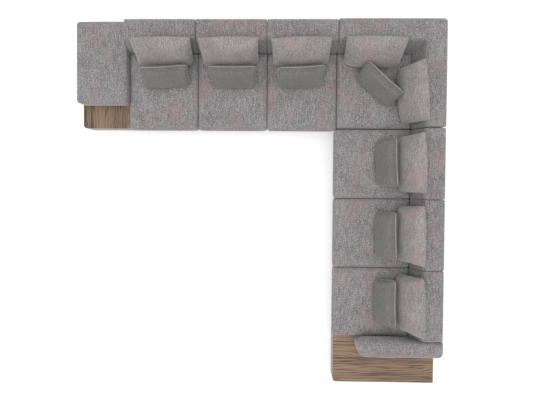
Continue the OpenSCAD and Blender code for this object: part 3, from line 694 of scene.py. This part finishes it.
# %% Shape the corner's backrest
low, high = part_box("corner_back")
low, high = low + Vector((CLOSE, CLOSE, 0)), high - Vector((CLOSE, CLOSE, BACK_INSET))
thick = back_high.y - back_low.y - BACK_INSET - CLOSE
post = Vector((high.x - thick, high.y - thick, low.z))
leaned = post + Vector((LEAN_SHIFT, LEAN_SHIFT, 0))
corner_back = start_box("corner_back_upholstery", post, high)
pick(corner_back, "FACE", at(x=post.x))
bpy.ops.mesh.extrude_region_move(TRANSFORM_OT_translate={"value": (low.x - post.x, 0, 0)})
pick(corner_back, "FACE", at(x=(post.x, high.x), y=post.y))
bpy.ops.mesh.extrude_region_move(TRANSFORM_OT_translate={"value": (0, low.y - post.y, 0)})
ring_at_seat_height()
pick(corner_back, "VERT", at(x=(low.x, post.x), y=post.y, z=high.z))
bpy.ops.transform.translate(value=(0, LEAN_SHIFT, 0))
pick(corner_back, "VERT", at(x=post.x, y=(low.y, leaned.y), z=high.z))
bpy.ops.transform.translate(value=(LEAN_SHIFT, 0, 0))
bpy.ops.mesh.select_all(action="SELECT")
bpy.ops.mesh.dissolve_limited(angle_limit=math.radians(3))

# %% Round the corner's backrest
round_edges(corner_back, at(x=(post.x, leaned.x), y=(post.y, leaned.y)), VALLEY_RADIUS, VALLEY_STEPS)
round_edges(corner_back, at(high.x, high.y), OUTER_RADIUS, BACK_STEPS)
ends, upper = either(at(x=low.x), at(y=low.y)), at(z=high.z)
round_edges(corner_back, lambda corners: upper(corners) and not ends(corners), BACK_RADIUS, BACK_STEPS)
round_edges(corner_back, ends, END_RADIUS, END_STEPS)
finish_foam(corner_back, low.z)

# %% [markdown]
# ## Base covers
# Each base is a board box wrapped tight in the same cloth. It is open above, where the seat lies, and
# below, where the dust cover closes it. So it is a box whose upright corners are rounded, whose upper and
# lower faces are taken away, and which then gets the thickness of its walls. The straight ones stand back a
# little at the front, so that the bulging seats hide them from above, as they do in the photo.

# %% Shape the base covers
WALL, FOLD_RADIUS, SET_BACK = 0.020, 0.003, 0.008
UPRIGHT_STEPS, FOLD_STEPS = 6, 3
END_RADII = (0.035, 0.005, 0.005, 0.005)


def base_cover(name, node, corner_radii, set_back=0.0):
    """Models a wrapped base in a node's box, with the same order of radii as a foam block."""
    low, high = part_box(node)
    low = low + Vector((0, set_back, 0))
    cover = start_box(name, low, high)
    round_uprights(cover, low, high, corner_radii, UPRIGHT_STEPS)
    pick(cover, "FACE", either(at(z=low.z), at(z=high.z)))
    bpy.ops.mesh.delete(type="ONLY_FACE")
    bpy.ops.object.mode_set(mode="OBJECT")
    use_modifier(cover, "SOLIDIFY", thickness=WALL, offset=-1, use_even_offset=True)
    use_modifier(cover, "BEVEL", width=FOLD_RADIUS, segments=FOLD_STEPS, limit_method="ANGLE",
                 angle_limit=math.radians(50))
    bpy.ops.object.shade_smooth_by_angle(angle=math.radians(35))
    return cover


straight_base = base_cover("rear_base_1_cover", "rear_base_1", STRAIGHT_RADII, SET_BACK)
covers = {
    "rear_base_1": straight_base,
    "corner_base": base_cover("corner_base_cover", "corner_base", (REAR_RADIUS,) * 3 + (OUTER_RADIUS,)),
    "left_end_base": base_cover("left_end_base_cover", "left_end_base", END_RADII),
    "right_end_base": base_cover("right_end_base_cover", "right_end_base", END_RADII)}
print("faces of the base covers:", [len(cover.data.polygons) for cover in covers.values()])

# %% [markdown]
# ## Back cushions and lumbar cushions
# A loose cushion is two flat panels sewn together round the edge and stuffed. It is made the same way here:
# a flat grid is extruded upwards twice, which gives an upper and a lower panel with a narrow seam between,
# and the cloth simulation inflates it. The middle gets thick, the sides draw in, and the corners stay
# pointed with soft puckers beside them. Every cushion is simulated on its own, with a slightly different
# filling, so that no two are alike.

# %% Sew the cushions flat
FLAT = {}
SEAM_HALF = 0.004
# How each kind is cut: the panels' size, the squares of their grid, and the rise of their dome.
CUSHION_CUT = ((0.640, 0.500), (64, 50), 0.060)
LUMBAR_CUT = ((0.512, 0.312), (50, 30), 0.045)


def put_in_order(piece):
    """Orders a mesh's parts by place. Extrude leaves a new order each run, which the cloth would follow."""
    shape = bmesh.from_edit_mesh(piece.data)
    for items in (shape.verts, shape.edges, shape.faces):
        middles = {item: np.mean(corners_of(item), axis=0).round(5).tolist() for item in items}
        rank = {item: number for number, item in enumerate(sorted(items, key=middles.get))}
        items.sort(key=rank.get)
    bmesh.update_edit_mesh(piece.data)


def sewn_panels(name, size, squares, crown, seed):
    """Two panels joined at a seam, domed a little, with gentle lumps of filling that differ by seed."""
    bpy.ops.object.select_all(action="DESELECT")
    bpy.ops.mesh.primitive_grid_add(x_subdivisions=squares[0], y_subdivisions=squares[1], size=1)
    cushion = bpy.context.object
    cushion.name = cushion.data.name = name
    edit_all(cushion)
    bpy.ops.transform.resize(value=(*size, 1))
    bpy.ops.transform.translate(value=(0, 0, -SEAM_HALF))
    for _ in range(2):
        bpy.ops.mesh.extrude_region_move(TRANSFORM_OT_translate={"value": (0, 0, SEAM_HALF)})
    bpy.ops.mesh.select_all(action="SELECT")
    bpy.ops.mesh.normals_make_consistent(inside=False)
    put_in_order(cushion)
    bpy.ops.object.mode_set(mode="OBJECT")
    places = points_of(cushion)
    on_seam = np.abs(places[:, 2]) < SEAM_HALF / 2
    cushion.vertex_groups.new(name="seam").add(np.flatnonzero(on_seam).tolist(), 1.0, "REPLACE")
    across, up = places[:, 0] / size[0] * 2, places[:, 1] / size[1] * 2
    FLAT[name] = (across, up, on_seam)
    dome = np.clip((1 - np.abs(across) ** 2.5) * (1 - np.abs(up) ** 2.5), 0, 1) ** 0.7
    turns = np.random.default_rng(seed).uniform(0, 2 * math.pi, 4)
    lumps = 0.10 * np.sin(3.1 * across + turns[0]) * np.cos(2.3 * up + turns[1])
    lumps += 0.06 * np.sin(6.3 * across + turns[2]) * np.cos(5.2 * up + turns[3])
    places[:, 2] += np.sign(places[:, 2]) * crown * dome * (1 + lumps - 0.16 * up)
    set_points(cushion, places)
    return cushion


# %% The places of the loose cushions
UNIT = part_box("rear_seat_2")[0].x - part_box("rear_seat_1")[0].x
JOIN_GAP = 0.002
rear_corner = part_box("rear_seat_1")[0] - Vector((JOIN_GAP, 0, 0))
side_corner = Vector((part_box("side_seat_1")[0].x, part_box("side_seat_1")[1].y + JOIN_GAP, 0))
REAR_RUN = Matrix.Translation((rear_corner.x, rear_corner.y, 0))
SIDE_RUN = Matrix.Translation((side_corner.x, side_corner.y, 0)) @ Matrix.Rotation(-QUARTER, 4, "Z")

# The run, the units and metres along it to the cushion's middle, and its turn in degrees, seen from above.
BACK_CUSHIONS = {
    "rear_cushion_1": (REAR_RUN, 0.5, 0.043, 0.5),
    "rear_cushion_2": (REAR_RUN, 1.5, -0.013, 1.0),
    "rear_cushion_3": (REAR_RUN, 2.5, -0.015, 1.5),
    "corner_rear_cushion": (REAR_RUN, 3.0, 0.368, -1.0),
    "corner_side_cushion": (SIDE_RUN, 0.0, -0.358, 4.0),
    "side_cushion_1": (SIDE_RUN, 0.5, 0.0, 2.0),
    "side_cushion_2": (SIDE_RUN, 1.5, -0.005, 1.0),
    "side_cushion_3": (SIDE_RUN, 2.5, -0.020, 1.5)}
LUMBARS = {
    "rear_lumbar_1": (REAR_RUN, 0.5, 0.045, 3.0),
    "rear_lumbar_2": (REAR_RUN, 1.5, 0.015, 0.0),
    "rear_lumbar_3": (REAR_RUN, 2.5, -0.016, 3.0),
    "side_lumbar_1": (SIDE_RUN, 0.5, -0.008, 2.0),
    "side_lumbar_2": (SIDE_RUN, 1.5, 0.012, 1.0),
    "side_lumbar_3": (SIDE_RUN, 2.5, -0.022, 1.0),
    "corner_lumbar": (REAR_RUN, 3.0, 0.439, -42.0)}
CORNER_LUMBAR_DEPTH = 0.457

cushions = {
    node: sewn_panels(node + "_cover", *CUSHION_CUT, seed) for seed, node in enumerate(BACK_CUSHIONS, 10)}
lumbars = {node: sewn_panels(node + "_cover", *LUMBAR_CUT, seed) for seed, node in enumerate(LUMBARS, 40)}
print("flat cushions:", len(cushions), "and", len(lumbars))

# %% [markdown]
# ## One simulation for all the padding
# The simulation runs from frame 1 to 12 with gravity off, because the shape of a cushion comes from its
# filling and its cover, and each piece then goes to its place. Stepping the frames once for every piece
# saves time. After it, the foam blocks are held within what firm foam swells.

# %% Inflate everything
# Each block has its node's limits of swelling, in metres: left, right, front, rear and up.
blocks = {
    "rear_seat_1": (seat, (CLOSE, CLOSE, 0.005, CLOSE, SEAT_CROWN)),
    "corner_seat": (corner_seat, (CLOSE, CLOSE, CLOSE, CLOSE, SEAT_CROWN)),
    "left_arm": (left_arm, (0.015, CLOSE, 0.012, 0.015, ARM_CROWN)),
    "right_arm": (right_arm, (0.004, 0.014, 0.008, CLOSE, ARM_CROWN)),
    "rear_back_1": (back, (0.002, 0.002, 0.002, 0.012, BACK_INSET)),
    "corner_back": (corner_back, (0.002, 0.026, 0.002, 0.026, BACK_INSET))}
# The upper faces that fall away towards their edges, by depth and width in metres.
ROLLED = {"rear_seat_1": (0.013, 0.068), "corner_seat": (0.013, 0.068), "left_arm": (0.008, 0.050)}
# The blocks whose free sides stand further out: left, right, front and rear, in metres.
FULLER = {
    "corner_back": (0, 0.010, 0, 0.009), "left_arm": (0.006, 0, 0.005, 0.010),
    "right_arm": (0, 0.006, 0.006, 0), "corner_seat": (-0.003, 0, 0, 0)}
PIN_HEIGHT = 0.010

before = {node: points_of(block) for node, (block, _) in blocks.items()}
for node, (block, _) in blocks.items():
    stuff(block, FOAM_PRESSURE, pin_below=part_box(node)[0].z + PIN_HEIGHT)
loose = [*cushions.values(), *lumbars.values()]
for piece in loose:
    stuff(piece, CUSHION_PRESSURE)
settle([block for block, _ in blocks.values()] + loose)
for node, (block, limits) in blocks.items():
    after = swell_within(before[node], points_of(block), limits)
    most = (after - before[node]).max(axis=0) * 1000
    print(node, "swells by", [round(float(way), 1) for way in most], "mm")
    if node in ROLLED:
        after = roll_edges(node, after, *ROLLED[node])
    if node == "right_arm":
        after = lean_over_seat(after)
    if node == "rear_seat_1":
        after = bow_front(after, node)
    set_points(block, fill_out(after, node, FULLER.get(node, (0, 0, 0, 0))))


# %% [markdown]
# ## Laying the cushions against the backrests
# A back cushion sinks a little into the seat and rests flat against the backrest's leaning face. A lumbar
# rests against the back cushion in the same way. Each is leaned, turned and moved to its place, and the
# points that would pass a surface are eased out of it, so that the cushion is flat only where it rests.

# %% Helpers that press
# A pressed point stays CLEAR of a surface, and each cushion is laid with a small GAP behind it.
CLEAR, GAP = 0.0005, 0.0003
BACK_SOFTNESS, SEAT_SOFTNESS = 0.004, 0.003
BEARER = back_low.y - rear_corner.y


def eased(distance, limit, softness):
    """Distances that never pass below the limit, bending softly as they near it."""
    return limit + softness * np.logaddexp(0, (distance - limit) / softness)


def press_back(places, limit, axis=1):
    """Keeps points that distance in front of the backrest's leaning face. Axis 0 is for the side run's."""
    normal = np.zeros(3)
    normal[axis], normal[2] = -math.cos(BACK_LEAN), math.sin(BACK_LEAN)
    distance = places @ normal - normal[axis] * BEARER - normal[2] * SEAT_TOP
    return places + np.outer(eased(distance, limit, BACK_SOFTNESS) - distance, normal)


def press_seat(places):
    out = places.copy()
    out[:, 2] = eased(places[:, 2], SEAT_TOP + CLEAR, SEAT_SOFTNESS)
    return out


# %% Helpers that lay
# The size of each kind when stuffed, how far its sides and its upper and lower edges are drawn in at their
# middles, how far its corners are rounded off, and the power that fills its front panel towards the seam.
CUSHION = dict(width=0.620, height=0.480, thickness=0.225, drawn_in=(0.003, 0.003), ear=0.004, fuller=1.35)
LUMBAR = dict(width=0.500, height=0.300, thickness=0.160, drawn_in=(0.002, 0.008), ear=0.005, fuller=2.8)
CUSHION_LEAN, LUMBAR_LEAN = math.radians(19), math.radians(30)
PRESS = 0.008
SEAM_PULL = 0.9


def resting_place(kind, lean, along, gap):
    """Where a leaning cushion's middle lies, sunk into the seat and that gap in front of the backrest."""
    z = SEAT_TOP + kind["height"] / 2 * math.cos(lean) - PRESS
    behind = (kind["thickness"] / 2 - PRESS + gap) / math.cos(BACK_LEAN)
    return Vector((along, BEARER + (z - SEAT_TOP) * math.tan(BACK_LEAN) - behind, z))


def laid(places, lean, turn, place):
    """Stands a flat cushion up, leans it back, turns it and moves it to its place in its run."""
    way = (Matrix.Translation(place) @ Matrix.Rotation(math.radians(turn), 4, "Z")
           @ Matrix.Rotation(QUARTER - lean, 4, "X"))
    matrix = np.array(way)
    return places @ matrix[:3, :3].T + matrix[:3, 3]


def iron_seam(cushion, width, height, thickness, drawn_in, ear, fuller):
    """Gives a stuffed cushion its size, and straightens its seam as piping does, easing into the panels."""
    across, up, on_seam = FLAT[cushion.name]
    places = points_of(cushion)
    out = places * np.array([1, 1, thickness / (places[:, 2].max() - places[:, 2].min())])
    front = out[:, 2] > 0
    crest = out[front, 2].max()
    out[front, 2] = crest * (1 - (1 - out[front, 2] / crest) ** fuller)
    for axis, along, over, half, draw in (
            (0, up, across, width / 2, drawn_in[0]), (1, across, up, height / 2, drawn_in[1])):
        for side in (-1, 1):
            edge = on_seam & (over * side > 0.999)
            order = np.argsort(along[edge])
            along_edge = along[edge][order]
            line = half - draw * (1 - along_edge ** 2) - ear * np.abs(along_edge) ** 10
            miss = SEAM_PULL * (side * line - places[edge, axis][order])
            out[:, axis] += np.interp(along, along_edge, miss) * np.clip(over * side, 0, 1) ** 3
    return out


def tapered(cushion, shape, share, skew=0.0):
    """Narrows a cushion towards its lower edge by that share, and shifts that edge aside by skew."""
    lower = np.clip(0.5 - FLAT[cushion.name][1] / 2, 0, 1)
    out = shape.copy()
    out[:, 0] = out[:, 0] * (1 - share * lower) + skew * lower
    return out


REAR_FLATTENING = 0.75


def fold_back(cushion, shape, slouch, bow):
    """Shapes the upper half, which stands free above the backrest. Its rear panel goes flat, and its upper
    seam comes forward by slouch and bows back by bow at its middle."""
    across, up, _ = FLAT[cushion.name]
    out = shape.copy()
    rise = np.clip((up + 0.1) / 0.9, 0, 1)
    rear = out[:, 2] < 0
    out[rear, 2] *= 1 - REAR_FLATTENING * (rise * rise * (3 - 2 * rise))[rear]
    higher = np.clip(0.5 + up / 2, 0, 1)
    out[:, 2] += slouch * higher ** 2 - bow * (1 - across ** 2) * higher ** 3
    return out


# %% Lay the back cushions
NARROWING = 0.03
# For each cushion: how far its upper seam slouches forward, how far it bows back, and its lower edge's shift.
POSTURE = dict.fromkeys(BACK_CUSHIONS, (0.004, 0.020, 0.0))
POSTURE.update(
    rear_cushion_1=(0.0, 0.014, -0.012), rear_cushion_2=(0.003, 0.018, -0.008),
    corner_rear_cushion=(-0.008, 0.018, 0.0), corner_side_cushion=(-0.008, 0.018, 0.0),
    side_cushion_3=(-0.002, 0.026, 0.0))
for node, cushion in cushions.items():
    run, units, offset, turn = BACK_CUSHIONS[node]
    slouch, bow, skew = POSTURE[node]
    shape = fold_back(cushion, iron_seam(cushion, **CUSHION), slouch, bow)
    shape = tapered(cushion, shape, NARROWING, skew)
    shape = laid(shape, CUSHION_LEAN, turn, resting_place(CUSHION, CUSHION_LEAN, units * UNIT + offset, GAP))
    set_points(cushion, press_seat(press_back(shape, CLEAR)))
    cushion.data.transform(run)
print("first back cushion:", [round(side, 3) for side in cushions["rear_cushion_1"].dimensions])

# %% Lay the lumbar cushions
# A back cushion's front face stands this far in front of the backrest. The corner's lumbar rests on two.
CUSHION_REACH = 0.2203
CORNER = np.array([3.0 * UNIT, 0, 0])
for node, lumbar in lumbars.items():
    run, units, offset, turn = LUMBARS[node]
    reach = CUSHION_REACH + GAP
    place = resting_place(LUMBAR, LUMBAR_LEAN, units * UNIT + offset, reach)
    if node == "corner_lumbar":
        place.y = CORNER_LUMBAR_DEPTH
    shape = tapered(lumbar, iron_seam(lumbar, **LUMBAR), NARROWING)
    shape = press_back(laid(shape, LUMBAR_LEAN, turn, place), reach)
    if node == "corner_lumbar":
        shape = press_back(shape - CORNER, reach, axis=0) + CORNER
    set_points(lumbar, press_seat(shape))
    lumbar.data.transform(run)
print("corner lumbar:", [round(side, 3) for side in lumbars["corner_lumbar"].dimensions])

# %% [markdown]
# ## Seams and piping
# The lumbars have a thin light piping sewn into their seam: a cord wrapped in a strip of cloth. The back
# cushions have a plain seam of their own cloth. Both run along the loop of edges between the two panels, so
# that loop is copied out of the cushion, turned into a curve and given a round section.

# %% Cord the seams
SEAM_RADIUS, PIPING_RADIUS = 0.0032, 0.0042


def cover_with(piece, material):
    piece.data.materials.clear()
    piece.data.materials.append(material)


def seam_cord(cushion, name, radius, material):
    """Copies a cushion's seam loop and makes a round cord along it."""
    edit_all(cushion)
    bpy.ops.mesh.select_mode(type="VERT")
    bpy.ops.mesh.select_all(action="DESELECT")
    cushion.vertex_groups.active = cushion.vertex_groups["seam"]
    bpy.ops.object.vertex_group_select()
    bpy.ops.mesh.duplicate()
    bpy.ops.mesh.separate(type="SELECTED")
    bpy.ops.object.mode_set(mode="OBJECT")
    cord = next(piece for piece in bpy.context.selected_objects if piece != cushion)
    cord.name = cord.data.name = name
    edit_all(cord)
    bpy.ops.mesh.vertices_smooth(factor=0.5, repeat=2)
    bpy.ops.object.mode_set(mode="OBJECT")
    places = points_of(cord)
    places[:, 2] = np.maximum(places[:, 2], SEAT_TOP + radius + CLEAR)
    set_points(cord, places)
    bpy.ops.object.convert(target="CURVE")
    set_all(cord.data, bevel_depth=radius, bevel_resolution=2)
    bpy.ops.object.convert(target="MESH")
    cover_with(cord, material)
    bpy.ops.object.shade_smooth()
    return cord


cords = {node: seam_cord(cushion, node + "_seam", SEAM_RADIUS, cushion_fabric)
         for node, cushion in cushions.items()}
cords |= {node: seam_cord(lumbar, node + "_piping", PIPING_RADIUS, piping_fabric)
          for node, lumbar in lumbars.items()}
print("seam cords:", len(cords))

# %% [markdown]
# ## Copies for the other units
# The finished seat and backrest are copied to the five other straight units. Then every new piece takes the
# place of its plain CAD solid, and rides on that solid's body.

# %% How a piece takes its place
def take_place(piece, node, material):
    """Gives a piece its material, hides the CAD node that it stands for, and lets it ride on its body."""
    cover_with(piece, material)
    piece.vertex_groups.clear()
    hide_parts(node)
    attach(piece, node if node in frame["bodies"] else "root")


def fill_piece(piece, node, sides):
    set_points(piece, fill_out(points_of(piece), node, sides))


# %% Copy and place the blocks and base covers
SIDE_BACK_FULLER, FREE_END_FULLER, REAR_FRONT_FULLER = 0.008, 0.006, 0.004
# The two seats that meet at the inner corner, with the axis of their front and of their length.
INNER_CORNER = {"rear_seat_3": (1, 0), "side_seat_1": (0, 1)}
for block, _ in blocks.values():
    only(block)
    bpy.ops.object.shade_smooth()
for unit in STRAIGHT[1:]:
    node, pad = copy_for(unit, "seat", seat, "_pad")
    if unit.startswith("rear"):
        fill_piece(pad, node, (0, 0, REAR_FRONT_FULLER, 0))
    if node in INNER_CORNER:
        set_points(pad, clear_inner_corner(points_of(pad), node, *INNER_CORNER[node]))
    take_place(pad, node, sofa_fabric)
    node, upholstery = copy_for(unit, "back", back, "_upholstery")
    if unit.startswith("side"):
        fill_piece(upholstery, node, (0, SIDE_BACK_FULLER, 0, 0))
    take_place(upholstery, node, sofa_fabric)
    node, cover = copy_for(unit, "base", straight_base, "_cover")
    take_place(cover, node, sofa_fabric)
fill_piece(back, "rear_back_1", (FREE_END_FULLER, 0, 0, 0))
fill_piece(seat, "rear_seat_1", (0, 0, REAR_FRONT_FULLER, 0))
for node, (block, _) in blocks.items():
    take_place(block, node, sofa_fabric)
for node, cover in covers.items():
    take_place(cover, node, sofa_fabric)

# %% Finish and place the loose cushions
for pieces, cloth, slot, fill in ((cushions, cushion_fabric, "cushion_fabric", 0.7),
                                  (lumbars, lumbar_fabric, "lumbar_fabric", 0.75)):
    for node, cushion in pieces.items():
        use_modifier(cushion, "SUBSURF", levels=1, render_levels=1)
        bpy.ops.object.shade_smooth()
        take_place(cushion, node, cloth)
        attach(cords[node], node)

# %% [markdown]
# ## Pieces kept from the CAD
# The walnut tops, frames, webbing, panels, feet and links are hard, so their CAD shapes are shown as they
# are. A bevel softens the walnut's edges, as sanding does. Its mesh comes with split corners, so a weld
# joins them first.

# %% Finish the carried-over pieces
FINISHES = {
    "left_end_top": (walnut_lengthwise, "walnut"), "right_end_top": (walnut_across, "walnut"),
    "seat_webbing": (webbing_weave, "webbing"), "back_panels": (frame_timber, "timber"),
    "dust_covers": (dust_cloth, "dust_cloth"), "glide_feet": (glide_plastic, "glide_plastic"),
    "link_plates": (link_steel, "link_steel"), "link_bolts": (link_steel, "link_steel"),
    "arm_pegs": (frame_timber, "timber")}
for name in frame["nodes"]:
    if "_frame" in name:
        FINISHES[name] = (frame_timber, "timber")
for name, (material, slot) in FINISHES.items():
    node = frame["nodes"][name]
    cover_with(node, material)
for name in ("left_end_top", "right_end_top"):
    node = frame["nodes"][name]
    add_modifier(node, "WELD", merge_threshold=1e-5)
    add_modifier(node, "BEVEL", width=0.0025, segments=3, limit_method="ANGLE")

# %% [markdown]
# ## Light, floor and camera
# The photo is a studio view from almost straight above, on white, with soft light from all round. The
# camera's place was fitted to the seams of the units. A pale world gives the soft light, one wide sun adds a
# little direction from the front, and the floor keeps the faint shadow in the inner corner of the L.

# %% Light the sofa
SOFT_LIGHT, KEY_LIGHT = 0.66, 1.08
KEY_FROM, KEY_WIDTH = (-0.08, -0.18, 1.0), 50


def seen_by_eye_or_mirror(tree):
    """1 where the camera, a reflection or a view through glass looks at a surface, and 0 for soft light."""
    ray = add_node(tree, "ShaderNodeLightPath")
    mirrored = math_node(tree, "MAXIMUM", ray.outputs["Is Glossy Ray"], ray.outputs["Is Transmission Ray"])
    return math_node(tree, "MAXIMUM", ray.outputs["Is Camera Ray"], mirrored)


world = bpy.data.worlds.new("studio")
world.use_nodes = True
scene.world = world
sky = world.node_tree
background = sky.nodes["Background"]
background.inputs["Color"].default_value = (1, 1, 1, 1)
strength = total_of(sky, (seen_by_eye_or_mirror(sky), 1.0 - SOFT_LIGHT), SOFT_LIGHT)
sky.links.new(strength, background.inputs["Strength"])
light = bpy.data.lights.new("soft key", "SUN")
set_all(light, energy=KEY_LIGHT, angle=math.radians(KEY_WIDTH))
lamp = bpy.data.objects.new("soft key", light)
lamp.rotation_euler = Vector(KEY_FROM).to_track_quat("Z", "Y").to_euler()
scene.collection.objects.link(lamp)

# %% Lay the floor
FLOOR_SHADE, FLOOR_GLOW = 0.9, 0.33
bpy.ops.object.select_all(action="DESELECT")
bpy.ops.mesh.primitive_plane_add(size=40, location=(0, 0, 0))
floor = bpy.context.object
floor.name = "studio_floor"
paper = bpy.data.materials.new("studio_paper")
paper.use_nodes = True
tree = paper.node_tree
tree.nodes.remove(tree.nodes["Principled BSDF"])
diffuse = add_node(tree, "ShaderNodeBsdfDiffuse", {"Color": (FLOOR_SHADE,) * 3 + (1,)})
glow = add_node(tree, "ShaderNodeEmission", {"Color": seen_by_eye_or_mirror(tree), "Strength": FLOOR_GLOW})
both = add_node(tree, "ShaderNodeAddShader", {0: diffuse.outputs[0], 1: glow.outputs[0]})
tree.links.new(both.outputs[0], tree.nodes["Material Output"].inputs["Surface"])
floor.data.materials.append(paper)
floor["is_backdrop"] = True

# %% Place the camera as it was fitted to the photo
camera_data = bpy.data.cameras.new("camera")
set_all(camera_data, lens=40.525, clip_end=100)
camera = bpy.data.objects.new("camera", camera_data)
camera.location = (0.26725, 0.247625, 6.946875)
camera.rotation_euler = (-0.027792, 0.026718, 0.007458)
scene.collection.objects.link(camera)
scene.camera = camera
scene.view_settings.view_transform = "Standard"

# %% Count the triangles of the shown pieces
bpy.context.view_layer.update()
triangles = 0
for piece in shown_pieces():
    piece.data.calc_loop_triangles()
    triangles += len(piece.data.loop_triangles)
print("triangles:", triangles)
